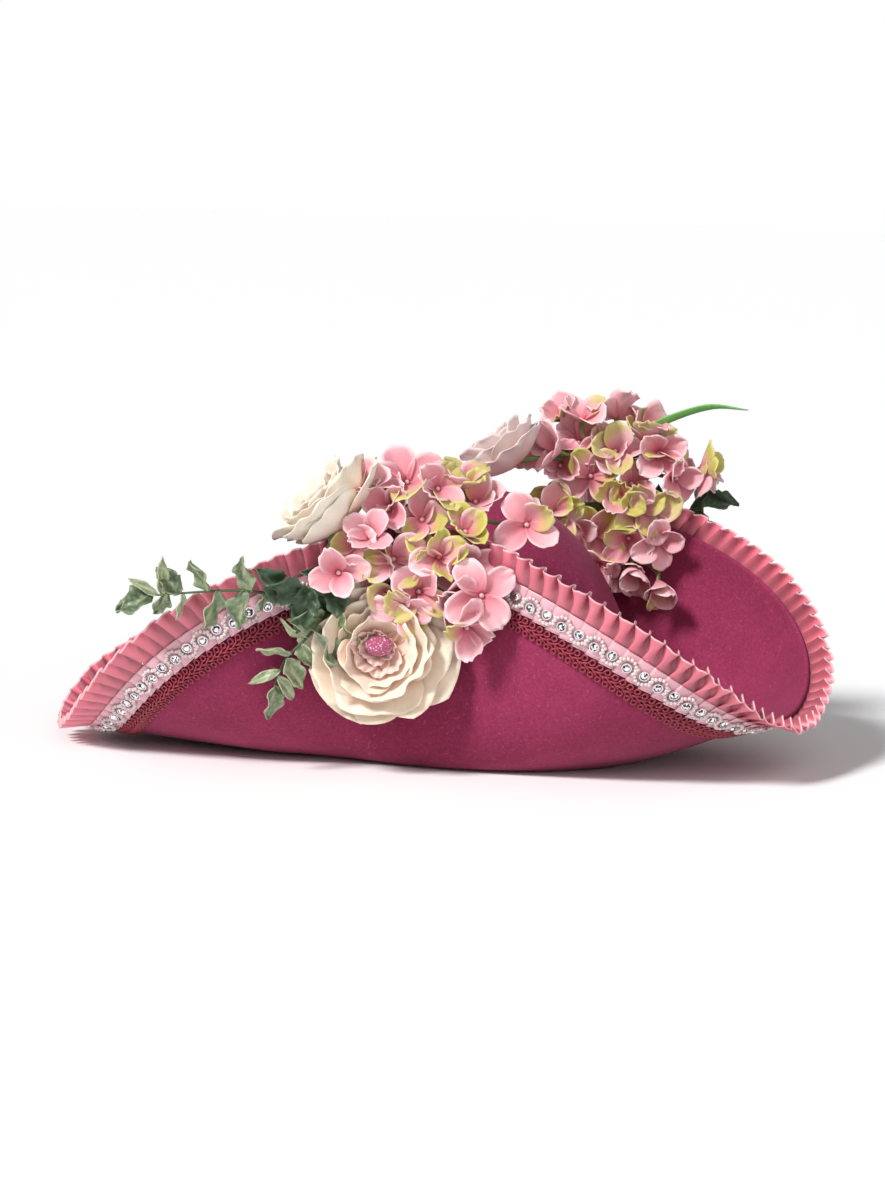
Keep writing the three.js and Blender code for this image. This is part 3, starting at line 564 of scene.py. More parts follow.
def add_tubes(pile, paths, radius, sides, lift, uv_length=1.0, tint=None):
    """Round cords along paths[k, n], with closed ends; lift says which way is up on each."""
    paths = np.asarray(paths, float)
    count, steps = paths.shape[:2]
    tangent = unit(np.gradient(paths, axis=1))
    side = unit(np.cross(tangent, np.broadcast_to(lift, paths.shape)))
    up = np.cross(side, tangent)
    turn = np.linspace(0.0, 2 * np.pi, sides, endpoint=False)
    radius = np.broadcast_to(radius, (count, steps))
    ring = np.cos(turn)[:, None] * side[:, :, None] + np.sin(turn)[:, None] * up[:, :, None]
    points = paths[:, :, None] + ring * radius[:, :, None, None]
    one = [list(reversed(face)) for face in grid_faces(steps, sides, wrap=True)]
    one.append(list(range(sides)))
    one.append(list(reversed(range((steps - 1) * sides, steps * sides))))
    run = np.linspace(0.0, uv_length, steps)
    uv = np.stack(np.meshgrid(run, np.arange(sides) / sides, indexing="ij"), -1)
    for k in range(count):
        pile.add(points[k], one, uv, tint)


def add_copies(pile, template, places, right, ahead, up, scale=1.0):
    """Copies of a small template at places, turned to three given directions."""
    points, faces = template
    scale = np.broadcast_to(scale, (len(places),))
    for k, place in enumerate(places):
        pile.add(points @ np.stack([right[k], ahead[k], up[k]]) * scale[k] + place, faces)


def take_template(scale=1000.0):
    """Points and faces of the object just modelled, from metres to millimetres; the object is removed."""
    thing = bpy.context.object
    points = np.array([v.co[:] for v in thing.data.vertices]) * scale
    faces = [list(face.vertices) for face in thing.data.polygons]
    bpy.data.objects.remove(thing)
    return points, faces


def curve_through(points, count):
    """A smooth curve through a few points, evenly divided."""
    points = np.asarray(points, float)
    ends = [2 * points[0] - points[1], *points, 2 * points[-1] - points[-2]]
    dense = []
    for a, b, c, d in zip(ends, ends[1:], ends[2:], ends[3:]):
        t = np.linspace(0, 1, 24, endpoint=False)[:, None]
        bend = (2 * a - 5 * b + 4 * c - d) * t**2 + (3 * b - a - 3 * c + d) * t**3
        dense.append(0.5 * (2 * b + (c - a) * t + bend))
    dense = np.vstack([*dense, points[-1:]])
    run = np.concatenate([[0.0], np.cumsum(np.linalg.norm(np.diff(dense, axis=0), axis=-1))])
    goal = np.linspace(0.0, run[-1], count)
    return np.stack([np.interp(goal, run, dense[:, axis]) for axis in range(3)], -1)


def rotate(vector, axis, angle):
    """A vector turned round an axis by an angle in degrees."""
    turn = math.radians(angle)
    axis = unit(np.asarray(axis, float))
    cosine, sine = math.cos(turn), math.sin(turn)
    return vector * cosine + np.cross(axis, vector) * sine + axis * np.dot(axis, vector) * (1 - cosine)


def bloom_frame(turn, tilt):
    """Right, up and facing directions of a bloom."""
    a, b = math.radians(turn), math.radians(tilt)
    facing = np.array([math.cos(b) * math.cos(a), math.cos(b) * math.sin(a), math.sin(b)])
    right = np.array([-math.sin(a), math.cos(a), 0.0])
    return right, np.cross(facing, right), facing


# Materials


def socket_group(name, inputs, outputs):
    """An empty shader group with named sockets: (name, type, default)."""
    group = bpy.data.node_groups.new(name, "ShaderNodeTree")
    for label, kind, value in inputs:
        socket = group.interface.new_socket(name=label, in_out="INPUT", socket_type=kind)
        if value is not None:
            socket.default_value = value
    for label, kind in outputs:
        group.interface.new_socket(name=label, in_out="OUTPUT", socket_type=kind)
    return group, group.nodes.new("NodeGroupInput"), group.nodes.new("NodeGroupOutput")


def math_node(tree, operation, *values):
    """The result of one operation on numbers and links."""
    node = tree.nodes.new("ShaderNodeMath")
    node.operation = operation
    for socket, value in zip(node.inputs, values):
        if isinstance(value, float):
            socket.default_value = value
        else:
            tree.links.new(value, socket)
    return node.outputs[0]


def fleck_group():
    """Uneven dye and fine surface of cloth: a tone about 1 and a height."""
    name = "Cloth Flecks"
    if name in bpy.data.node_groups:
        return bpy.data.node_groups[name]
    group, start, end = socket_group(
        name,
        [
            ("Vector", "NodeSocketVector", None),
            ("Fine Scale", "NodeSocketFloat", 1500.0),
            ("Broad Scale", "NodeSocketFloat", 30.0),
            ("Fine Amount", "NodeSocketFloat", 0.12),
            ("Broad Amount", "NodeSocketFloat", 0.1),
        ],
        [("Tone", "NodeSocketFloat"), ("Height", "NodeSocketFloat")],
    )
    noises, tones = [], []
    for size, detail in (("Fine", 3.0), ("Broad", 2.0)):
        noise = group.nodes.new("ShaderNodeTexNoise")
        noise.inputs["Detail"].default_value = detail
        group.links.new(start.outputs["Vector"], noise.inputs["Vector"])
        group.links.new(start.outputs[size + " Scale"], noise.inputs["Scale"])
        centred = math_node(group, "SUBTRACT", noise.outputs["Fac"], 0.5)
        noises.append(noise)
        tones.append(math_node(group, "MULTIPLY", centred, start.outputs[size + " Amount"]))
    both = math_node(group, "ADD", *tones)
    group.links.new(math_node(group, "MULTIPLY_ADD", both, 2.0, 1.0), end.inputs["Tone"])
    group.links.new(noises[0].outputs["Fac"], end.inputs["Height"])
    return group


def rib_group():
    """Fine ribs of satin or twist of cord across a UV map: a height from 0 to 1."""
    name = "Satin Ribs"
    if name in bpy.data.node_groups:
        return bpy.data.node_groups[name]
    group, start, end = socket_group(
        name,
        [
            ("UV", "NodeSocketVector", None),
            ("Ribs", "NodeSocketFloat", 1.0),
            ("Slant", "NodeSocketFloat", 0.0),
        ],
        [("Height", "NodeSocketFloat")],
    )
    split = group.nodes.new("ShaderNodeSeparateXYZ")
    group.links.new(start.outputs["UV"], split.inputs[0])
    x, y = split.outputs["X"], split.outputs["Y"]
    slanted = math_node(group, "MULTIPLY_ADD", y, start.outputs["Slant"], x)
    wave = math_node(group, "SINE", math_node(group, "MULTIPLY", slanted, start.outputs["Ribs"]))
    group.links.new(math_node(group, "MULTIPLY_ADD", wave, 0.5, 0.5), end.inputs["Height"])
    return group


class Finish:
    """One material, with the nodes that its finish is made of."""

    def __init__(self, name, roughness, colour_value=(0.8, 0.8, 0.8)):
        self.material = bpy.data.materials.new(name)
        self.material.use_nodes = True
        self.nodes, self.links = self.material.node_tree.nodes, self.material.node_tree.links
        self.surface = self.nodes["Principled BSDF"]
        self.surface.inputs["Roughness"].default_value = roughness
        self.surface.inputs["Base Color"].default_value = (*colour_value, 1.0)
        self.place = self.nodes.new("ShaderNodeTexCoord")

    def set(self, **values):
        for label, value in values.items():
            self.surface.inputs[label.replace("_", " ")].default_value = value
        return self

    def group(self, group, vector, **values):
        node = self.nodes.new("ShaderNodeGroup")
        node.node_tree = group
        self.links.new(vector, node.inputs[0])
        for label, value in values.items():
            node.inputs[label.replace("_", " ")].default_value = value
        return node

    def tint(self):
        node = self.nodes.new("ShaderNodeAttribute")
        node.attribute_name = "tint"
        return node.outputs["Color"]

    def uv(self):
        node = self.nodes.new("ShaderNodeUVMap")
        node.uv_map = "cloth"
        return node.outputs["UV"]

    def texture(self, kind, **values):
        """A noise or cell texture over the whole piece."""
        node = self.nodes.new("ShaderNodeTex" + kind)
        for label, value in values.items():
            node.inputs[label].default_value = value
        self.links.new(self.place.outputs["Object"], node.inputs["Vector"])
        return node.outputs

    def part_of(self, vector, axis):
        node = self.nodes.new("ShaderNodeSeparateXYZ")
        self.links.new(vector, node.inputs[0])
        return node.outputs[axis]

    def flecks(self, fine, broad, fine_amount, broad_amount=0.1):
        """Tone and height of the cloth flecks, by their scales and amounts."""
        return self.group(
            fleck_group(),
            self.place.outputs["Object"],
            Fine_Scale=fine,
            Broad_Scale=broad,
            Fine_Amount=fine_amount,
            Broad_Amount=broad_amount,
        ).outputs

    def ribs(self, ribs, slant=0.0):
        """Height of the ribs across the piece's UV map."""
        return self.group(rib_group(), self.uv(), Ribs=ribs, Slant=slant).outputs["Height"]

    def mixed(self, first, second, share):
        """A blend of two colours or links by a share."""
        mix = self.nodes.new("ShaderNodeMix")
        mix.data_type = "RGBA"
        for socket, value in ((mix.inputs["A"], first), (mix.inputs["B"], second)):
            if isinstance(value, (tuple, list)):
                socket.default_value = (*value, 1.0)
            else:
                self.links.new(value, socket)
        self.links.new(share, mix.inputs["Factor"])
        return mix.outputs["Result"]

    def toned(self, colour_output, tone):
        """A colour made lighter or darker by a tone about 1."""
        scale = self.nodes.new("ShaderNodeVectorMath")
        scale.operation = "SCALE"
        self.links.new(colour_output, scale.inputs[0])
        self.links.new(tone, scale.inputs["Scale"])
        return scale.outputs[0]

    def base(self, output):
        self.links.new(output, self.surface.inputs["Base Color"])
        return self

    def bump(self, height, strength, distance):
        node = self.nodes.new("ShaderNodeBump")
        node.inputs["Strength"].default_value = strength
        node.inputs["Distance"].default_value = distance
        self.links.new(height, node.inputs["Height"])
        self.links.new(node.outputs["Normal"], self.surface.inputs["Normal"])
        return self

    def stepped(self, value, low, high):
        """0 below low, 1 above high, and a slope between."""
        node = self.nodes.new("ShaderNodeMapRange")
        node.inputs["From Min"].default_value = low
        node.inputs["From Max"].default_value = high
        self.links.new(value, node.inputs["Value"])
        return node.outputs["Result"]


def felt_finish(colours):
    """Matt blocked felt: uneven dye, a short nap and stray fibres."""
    finish = Finish("Raspberry Felt", 0.93).set(
        Sheen_Weight=0.12, Sheen_Roughness=0.5, Sheen_Tint=(1.0, 0.5, 0.7, 1.0), Specular_IOR_Level=0.12
    )
    flecks = finish.flecks(620.0, 70.0, 0.34, 0.16)
    uneven = finish.stepped(finish.texture("Noise", Scale=9.0)["Fac"], 0.25, 0.6)
    surface_colour = finish.mixed(tuple(colours.felt_shade), tuple(colours.felt), uneven)
    fibres = finish.texture("Noise", Scale=260.0, Detail=6.0, Distortion=3.5)
    stray = finish.stepped(fibres["Fac"], 0.6, 1.0)
    lit = finish.mixed(finish.toned(surface_colour, flecks["Tone"]), FIBRE_COLOUR, stray)
    return finish.base(lit).bump(flecks["Height"], 0.45, 0.0006).material


def satin_finish(name, edge, edge_from, roughness, ribs):
    """Ribbon satin in the piece's tint, which holds painted shade of the pleats, with fine ribs and a looped
    edge of a lighter tone.
    """
    finish = Finish(name, roughness).set(
        Sheen_Weight=0.1, Sheen_Roughness=0.35, Sheen_Tint=(*edge, 1.0), Specular_IOR_Level=0.65
    )
    border = finish.stepped(finish.part_of(finish.uv(), "Y"), edge_from, edge_from + 0.02)
    looped = finish.stepped(finish.ribs(7.0), -1.2, 1.0)
    dots = math_node(finish.material.node_tree, "MULTIPLY", border, looped)
    # The tint holds painted shade of the pleats; the flecks only vary the tone at random.
    surface_colour = finish.toned(finish.tint(), finish.flecks(900.0, 70.0, 0.04, 0.12)["Tone"])
    finish.base(finish.mixed(surface_colour, edge, dots))
    return finish.bump(finish.ribs(ribs), 0.22, 0.0002).material


def cord_finish(colours):
    """Rayon cord: twisted, with a silky gloss and painted shade in the grooves of its twist."""
    finish = Finish("Crimson Cord", 0.34).set(
        Sheen_Weight=0.15, Sheen_Roughness=0.3, Sheen_Tint=(1.0, 0.35, 0.42, 1.0), Specular_IOR_Level=0.7
    )
    twist = finish.ribs(9.0, 1.4)
    # Painted shade: the cord is darker in the grooves of its twist.
    shade = tuple(channel * 0.35 for channel in colours.gimp)
    finish.base(finish.mixed(shade, tuple(colours.gimp), twist))
    return finish.bump(twist, 0.5, 0.0002).material


def tinted_finish(name, roughness, fine, sheen=0.12, coat=0.0, under=0.0):
    """Cloth or wax whose colour runs over the piece in its tint, with flecks and a slight crinkle."""
    finish = Finish(name, roughness).set(
        Sheen_Weight=sheen,
        Sheen_Roughness=0.5,
        Coat_Weight=coat,
        Coat_Roughness=0.25,
        Subsurface_Weight=under,
    )
    if under:
        finish.set(Subsurface_Radius=(1.0, 0.45, 0.35), Subsurface_Scale=0.0012)
    flecks = finish.flecks(fine, 160.0, 0.07)
    tree = finish.material.node_tree
    relief = math_node(tree, "MULTIPLY_ADD", finish.ribs(34.0, 0.25), 0.35, flecks["Height"])
    finish.base(finish.toned(finish.tint(), flecks["Tone"]))
    return finish.bump(relief, 0.3, 0.0003).material


def bright_finish(name, colour_value, roughness, metallic=0.0, coat=0.0):
    """Polished metal or pearl, with slight unevenness."""
    finish = Finish(name, roughness, colour_value)
    finish.set(Metallic=metallic, Coat_Weight=coat, Coat_Roughness=0.08)
    flecks = finish.flecks(1200.0, 240.0, 0.03)
    plain = finish.nodes.new("ShaderNodeRGB")
    plain.outputs[0].default_value = (*colour_value, 1.0)
    finish.base(finish.toned(plain.outputs[0], flecks["Tone"]))
    return finish.bump(flecks["Height"], 0.06, 0.0001).material


def stone_finish():
    """Clear cut stone with a bright foil behind it: facets from white to near black, painted reflections in
    the colour of a metal finish.
    """
    finish = Finish("Clear Stone", 0.04).set(Metallic=1.0, Coat_Weight=1.0, Coat_Roughness=0.02)
    cells = finish.texture("Voronoi", Scale=900.0)
    # Painted reflections: cells of near black and white stand for the glints of the facets.
    bright = finish.stepped(finish.part_of(cells["Color"], "X"), 0.3, 0.42)
    return finish.base(finish.mixed((0.06, 0.07, 0.08), (0.98, 0.99, 1.0), bright)).material


def glitter_finish():
    """Purple pink heart of a peony, coated with glitter whose sparkle is painted as pale glints in its
    colour.
    """
    finish = Finish("Glitter Heart", 0.42).set(Coat_Weight=0.2)
    cells = finish.texture("Voronoi", Scale=1900.0)
    # Painted glints: pale flecks in the colour stand for the glitter's sparkle.
    bright = finish.stepped(finish.part_of(cells["Color"], "X"), 0.88, 0.94)
    finish.base(finish.mixed((0.42, 0.07, 0.17), (0.9, 0.66, 0.74), bright))
    return finish.bump(cells["Distance"], 0.8, 0.0005).material


# Felt and trims


def felt_sections():
    """Closed rings of the felt, from the ceiling of the crown round the brim to its top."""
    brim = Brim(360, (0.0, 1.2, 2.65, 5.0, 8.0, 12.0, 16.65, 21.0, 26.6))
    shares = np.array([0.94, 0.88, 0.81, 0.74, 0.66, 0.58, 0.5, 0.42, 0.34, 0.26, 0.19, 0.12])[:, None]
    angles = brim.rim + (brim.angle[-1] - brim.rim) * shares**2
    alongs = brim.along[-1] * shares
    points = np.concatenate([brim.points, brim_point(angles, alongs)])
    normals = np.concatenate([brim.normals, brim_frame(angles, alongs)[2]])
    out = heading(brim.rim)
    opening = oval_radius(brim.rim, OPENING_HALF_WIDTH, OPENING_HALF_LENGTH)

    def ring(radius, level):
        return np.stack([out[:, 0] * radius, out[:, 1] * radius, np.full(len(radius), level)], -1)

    profile = curve_through([(r, h, 0.0) for h, r in CROWN_PROFILE], 96)
    profile = profile[(profile[:, 0] > 0.02) & (np.arange(96) < 94)]
    profile = profile[profile[:, 1] > 0.02][::2]
    sections = [ring(opening * r, h * (CROWN_HEIGHT - FELT_THICKNESS)) for r, h, _ in profile[::-1]]
    sections.append(ring(opening, 0.6))
    sections.append(ring(opening + 0.6, 0.0))
    sections.append(ring(opening + SEAT_WIDTH - 0.8, 0.0))
    sections += list(points[::-1])
    sections.append(points[0] - normals[0] * FELT_THICKNESS / 2 + brim.stand * 0.5)
    sections += list(points - normals * FELT_THICKNESS)
    sections += [ring((opening + FELT_THICKNESS) * r, h * CROWN_HEIGHT) for r, h, _ in profile]
    return np.array(sections)


class FeltOperator(bpy.types.Operator):
    """Blocked felt of the crown and the brim"""

    bl_idname = "tricorn.felt"
    bl_label = "Felt"

    def execute(self, context):
        sections = felt_sections()
        rows, columns = sections.shape[:2]
        faces = [face[::-1] for face in grid_faces(rows, columns, wrap=True)]
        size = rows * columns
        faces += [[(j + 1) % columns, size, j] for j in range(columns)]
        last = (rows - 1) * columns
        faces += [[last + j, size + 1, last + (j + 1) % columns] for j in range(columns)]
        poles = np.array([(0.0, 0.0, CROWN_HEIGHT - FELT_THICKNESS), (0.0, 0.0, CROWN_HEIGHT)])
        pile = Pile()
        pile.add(np.concatenate([sections.reshape(-1, 3), poles]), faces)
        felt = make_piece("felt", pile, [felt_finish(context.scene.hat_colours)], ["felt_body"])
        select_only(felt)
        bpy.ops.object.mode_set(mode="EDIT")
        bpy.ops.mesh.select_all(action="SELECT")
        bpy.ops.mesh.normals_make_consistent(inside=False)
        bpy.ops.object.mode_set(mode="OBJECT")
        return {"FINISHED"}


def pleat_path(count, steps):
    """A ribbon laid in knife pleats: place along the rim in pleats, and lift, from 0 to 1, of each point."""
    run = np.arange(count * steps + 1) / steps
    pleat, share = np.floor(run), run - np.floor(run)
    turn = (1 + PLEAT_LAP) / (1 + 2 * PLEAT_LAP)
    top = share < turn
    rise = np.where(top, share / turn, (share - turn) / (1 - turn))
    place = pleat + np.where(top, rise * (1 + PLEAT_LAP), 1 + PLEAT_LAP * (1 - rise))
    lift = np.where(top, 1 - PLEAT_RISE * rise, 1 - PLEAT_RISE + PLEAT_RISE * rise)
    return run, share, place, lift


def openness(along):
    """How far the pleats have opened: shut on the near flap's back half, open on its front half."""
    places = (0.0, 0.06, 0.2, 0.45, 0.6, 0.7, 0.78, 0.84, 0.87, 0.9, 1.0)
    values = (1.0, 0.75, 0.6, 0.7, 0.62, 0.62, 0.4, 0.2, 0.9, 1.1, 1.0)
    return np.interp(np.mod(along, 1.0), places, values)


class RuffleOperator(bpy.types.Operator):
    """Satin ribbon in pleats that open past the rim"""

    bl_idname = "tricorn.ruffle"
    bl_label = "Ruffle"

    def execute(self, context):
        sizes, colours = context.scene.hat_sizes, context.scene.hat_colours
        rows = RUFFLE_ROWS
        run, share, place, lift = pleat_path(sizes.pleats, 14)
        seed = np.random.default_rng(11)
        jitter = seed.normal(0.0, 1.0, (4, sizes.pleats + 1))
        pleat = np.floor(run).astype(int) % sizes.pleats
        along = place / sizes.pleats
        swing = openness(along)
        wave = 0.5 + 0.5 * np.cos(2 * np.pi * (share - 0.02))
        open_place = run + 0.09 * np.sin(4 * np.pi * share) + 0.2 * np.sin(2 * np.pi * share)
        deep = sizes.pleat_depth * 1000 * (1 + 0.12 * jitter[0][pleat])
        edge_place = place + (open_place - place) * swing
        edge_lift = (0.3 + 2.4 * lift) * (1 - swing) + (deep * wave - 0.8) * swing
        opened = rows**1.25
        across = (place * (1 - opened) + edge_place * opened) / sizes.pleats
        out = SEAM + 0.15 + (1.2 * lift) * (1 - opened) + edge_lift * opened
        out += 0.35 * np.sin(np.pi * rows) * (1 - 0.5 * swing)
        stand = sizes.ruffle_stand * 1000 + 0.35 * jitter[1][pleat] + 0.3 * np.sin(2 * np.pi * share)
        depth = RUFFLE_HEADER - rows * (RUFFLE_HEADER + stand)
        points = FINE.at(across, depth, out)
        lengths = np.linalg.norm(np.diff(points[-1], axis=0), axis=-1)
        walked = np.concatenate([[0.0], np.cumsum(lengths)])
        uv = np.stack(np.broadcast_arrays(walked[None, :], rows), -1)
        # Painted shade: the satin is darker where a pleat lies low or turns in and towards the felt, lighter
        # where it rises; the jitter varies the tone at random.
        fold = np.broadcast_to(lift * (1 - swing) + wave * swing, out.shape)
        shade = (0.45 + 0.65 * fold + 0.12 * rows)[..., None] * (1 + 0.06 * jitter[2][pleat])[None, :, None]
        tint = (shade * np.asarray(colours.ruffle)).reshape(-1, 3)
        pile = Pile()
        pile.add(points, grid_faces(len(rows), len(run)), uv, tint)
        satin = satin_finish("Ruffle Satin", tuple(colours.ruffle_light), 0.93, 0.34, ribs=11.0)
        ruffle = make_piece("ruffle_ribbon", pile, [satin], ["ruffle"])
        thicken(ruffle, sizes.ribbon_thickness)
        return {"FINISHED"}


class PearlRibbonOperator(bpy.types.Operator):
    """Pale satin under the stones, in flat pleats"""

    bl_idname = "tricorn.pearl_ribbon"
    bl_label = "Pale ribbon"

    def execute(self, context):
        sizes, colours = context.scene.hat_sizes, context.scene.hat_colours
        rows = PALE_ROWS
        run, share, place, lift = pleat_path(sizes.pleats, 10)
        crease = lift * (0.75 + 0.25 * rows)
        depth = PEARL_TOP + PEARL_WIDTH * rows + rows**2 * (1.1 * lift - 0.8)
        out = SEAM + 0.15 + 0.95 * crease
        points = FINE.at(place / sizes.pleats, depth, out)
        lengths = np.linalg.norm(np.diff(points[2], axis=0), axis=-1)
        walked = np.concatenate([[0.0], np.cumsum(lengths)])
        uv = np.stack(np.broadcast_arrays(walked[None, :], rows), -1)
        # Painted shade: each pleat is darker where it lies low and lighter where it rises.
        shade = np.broadcast_to(0.72 + 0.36 * lift, out.shape)[..., None]
        tint = (shade * np.asarray(colours.pearl_ribbon)).reshape(-1, 3)
        pile = Pile()
        pile.add(points, grid_faces(len(rows), len(run)), uv, tint)
        satin = satin_finish("Pale Satin", (0.96, 0.78, 0.8), 0.95, 0.28, ribs=8.0)
        ribbon = make_piece("pale_ribbon", pile, [satin], ["pearl_trim"])
        thicken(ribbon, sizes.ribbon_thickness * 0.8)
        return {"FINISHED"}


def stone_cup():
    """A silver cup that is hollow above and stands on the ribbon."""
    bpy.ops.mesh.primitive_cylinder_add(vertices=12, radius=CUP_RADIUS, depth=CUP_HEIGHT)
    cup = bpy.context.object
    bpy.ops.object.mode_set(mode="EDIT")
    bpy.ops.mesh.select_all(action="DESELECT")
    bpy.ops.object.mode_set(mode="OBJECT")
    for face in cup.data.polygons:
        face.select = face.normal.z > 0.9
    bpy.ops.object.mode_set(mode="EDIT")
    bpy.ops.mesh.inset(thickness=CUP_WALL)
    bpy.ops.mesh.extrude_region_move(TRANSFORM_OT_translate={"value": (0, 0, -CUP_HOLLOW)})
    bpy.ops.object.mode_set(mode="OBJECT")
    points, faces = take_template()
    return points + (0.0, 0.0, CUP_HEIGHT * 500), faces


def cut_stone(radius):
    """A round stone with eight sides, each face of it raised to a point."""
    bpy.ops.mesh.primitive_cone_add(
        vertices=8, radius1=radius * 1000, radius2=radius * 560, depth=radius * 480, location=(0, 0, 0)
    )
    bpy.ops.object.mode_set(mode="EDIT")
    bpy.ops.mesh.select_all(action="SELECT")
    bpy.ops.mesh.poke(offset=radius * 40)
    bpy.ops.object.mode_set(mode="OBJECT")
    points, faces = take_template(1.0)
    return points + (0.0, 0.0, STONE_LEVEL), faces


def along_frame(along, depth):
    """Directions along the rim, down the felt and out of it."""
    step = 0.0006
    out = FINE.normal(along, depth)
    ahead = FINE.at(along + step, depth) - FINE.at(along - step, depth)
    ahead = unit(ahead - out * np.sum(ahead * out, -1, keepdims=True))
    return ahead, np.cross(out, ahead), out


class StonesOperator(bpy.types.Operator):
    """Stones in silver cups, each with a fan of seed pearls round one side"""

    bl_idname = "tricorn.stones"
    bl_label = "Stones and pearls"

    def execute(self, context):
        sizes = context.scene.hat_sizes
        count = sizes.stones
        which = np.arange(count)
        along = (which + 0.5) / count
        side = np.where(which % 2 == 0, 1.0, -1.0)
        depth = PEARL_TOP + PEARL_WIDTH * STONE_LINE + STONE_SWAY * side
        ahead, across, out = along_frame(along, depth)
        foot = FINE.at(along, depth, SEAM + RIBBON_TOP)
        cups, stones = Pile(), Pile()
        add_copies(cups, stone_cup(), foot, ahead, across, out)
        spin = np.random.default_rng(5).uniform(0, math.pi, count)[:, None]
        turned = ahead * np.cos(spin) + across * np.sin(spin)
        add_copies(stones, cut_stone(sizes.stone_radius), foot, turned, np.cross(out, turned), out)
        silver = bright_finish("Silver Cups", (0.83, 0.83, 0.85), 0.2, metallic=1.0)
        make_piece("stone_cups", cups, [silver], ["pearl_trim"], smooth=False)
        make_piece("clear_stones", stones, [stone_finish()], ["pearl_trim"], smooth=False)
        bend = np.radians(np.linspace(*FAN_ENDS, FAN_PEARLS))
        pearl_along = along[:, None] + np.cos(bend) * FAN_REACH / count
        pearl_depth = depth[:, None] - np.sin(bend) * FAN_DEPTH * side[:, None]
        places = FINE.at(pearl_along, pearl_depth, SEAM + PEARL_LEVEL).reshape(-1, 3)
        ahead, across, out = along_frame(pearl_along.ravel(), pearl_depth.ravel())
        bpy.ops.mesh.primitive_ico_sphere_add(subdivisions=2, radius=sizes.pearl_radius, location=(0, 0, 0))
        pearl = take_template()
        pearls = Pile()
        sizes_of = np.random.default_rng(3).uniform(0.92, 1.08, len(places))
        add_copies(pearls, pearl, places, ahead, across, out, sizes_of)
        white = bright_finish("Seed Pearls", (0.66, 0.56, 0.55), 0.16, coat=0.6)
        make_piece("seed_pearls", pearls, [white], ["pearl_trim"])
        return {"FINISHED"}


class BraidOperator(bpy.types.Operator):
    """Scroll braid: slanting cords that end in loops on both edges"""

    bl_idname = "tricorn.braid"
    bl_label = "Braid"

    def execute(self, context):
        sizes, colours = context.scene.hat_sizes, context.scene.hat_colours
        count = sizes.braid_loops
        t = np.linspace(0.0, 1.0, 9)
        turn = np.radians(205 - np.linspace(0, 345, 13)[1:])
        (from_x, from_y), (to_x, to_y), (loop_x, loop_y) = BRAID_RUN_START, BRAID_RUN_END, BRAID_LOOP_MIDDLE
        x = np.concatenate([from_x + (to_x - from_x) * t, loop_x + BRAID_LOOP_RADIUS * np.cos(turn)])
        y = np.concatenate([from_y + (to_y - from_y) * t**1.4, loop_y + BRAID_LOOP_RADIUS * np.sin(turn)])
        out = SEAM + np.concatenate([0.75 + 0.75 * np.sin(np.pi * t), 0.8 + 0.5 * np.linspace(0, 1, 12)])
        cord = sizes.braid_cord * 1000
        pile = Pile()
        for side, offset in ((1.0, 0.0), (-1.0, 0.5)):
            start = (np.arange(count) + offset)[:, None] / count
            along = start + x[None, :] / RIM_LENGTH
            depth = GIMP_MIDDLE + side * y[None, :]
            paths = FINE.at(along, depth, out[None, :])
            lift = FINE.normal(along, depth)
            add_tubes(pile, paths, cord, 5, lift, uv_length=14.0)
        # The dark strip under the cords: partly the braid's dark base thread, partly painted shade in the
        # gaps between the loops.
        steps = BRAID_BASE_STEPS
        base = (np.arange(steps) / steps)[:, None]
        strip = FINE.at(base, GIMP_MIDDLE + BRAID_BASE[:, 0], SEAM + BRAID_BASE[:, 1])
        faces = []
        for j in range(steps):
            k = (j + 1) % steps
            faces += [[j * 4 + i, k * 4 + i, k * 4 + (i + 1) % 4, j * 4 + (i + 1) % 4] for i in range(4)]
        pile.add(strip, faces, tint=tuple(colours.gimp_base_and_shade), slot=1)
        finishes = [cord_finish(colours), tinted_finish("Braid Base and Shade", 0.8, 900.0)]
        make_piece("scroll_braid", pile, finishes, ["gimp_braid"])
        return {"FINISHED"}


# Flowers


def flat_sheet(columns, rows):
    """A sheet of squares from the grid primitive: u from -1 to 1 across, v from 0 to 1 along, faces."""
    bpy.ops.mesh.primitive_grid_add(x_subdivisions=columns, y_subdivisions=rows, size=2.0)
    points, faces = take_template(1.0)
    return points[:, 0], (points[:, 1] + 1) / 2, faces


def petal_shape(u, v, long, wide, lean, cup, ruffle, phase, round_tip, curl, twist, neck=0.4, notch=0.0):
    """A petal that grows from its foot: outwards, across and up the bloom. lean is its slope from the
    bloom's axis at its foot and at its tip, curl rolls its edge back and twist turns it, in degrees."""
    s = v * (1 - 0.16 * u**2 * v - notch * (1 - np.abs(u)) ** 2 * v**4)
    table = np.linspace(0, 1, 41)
    slope = lean[0] + (lean[1] - lean[0]) * table**1.3 + curl * np.clip((table - 0.72) / 0.28, 0, 1) ** 2
    slope = np.radians(slope)
    out = np.concatenate([[0], np.cumsum(np.sin(slope[:-1]))]) / 40 * long
    rise = np.concatenate([[0], np.cumsum(np.cos(slope[:-1]))]) / 40 * long
    foot = neck + (1 - neck) * np.sin(np.pi / 2 * np.clip(s / 0.55, 0, 1))
    body = foot * np.sqrt(1 - (round_tip * np.clip((s - 0.55) / 0.45, 0, 1)) ** 2)
    across = u * wide * body
    here = np.interp(s, table, slope)
    fold = cup * wide * u**2 * body * (1 - 0.5 * v**3) + across * math.tan(math.radians(twist)) * v
    fold += ruffle * np.sin(2.6 * np.pi * u + phase) * v**2.5
    fold += 0.45 * ruffle * np.sin(7 * u + 3 * phase + 5 * v) * v
    x = np.interp(s, table, out) - fold * np.cos(here)
    z = np.interp(s, table, rise) + fold * np.sin(here)
    return x, across, z


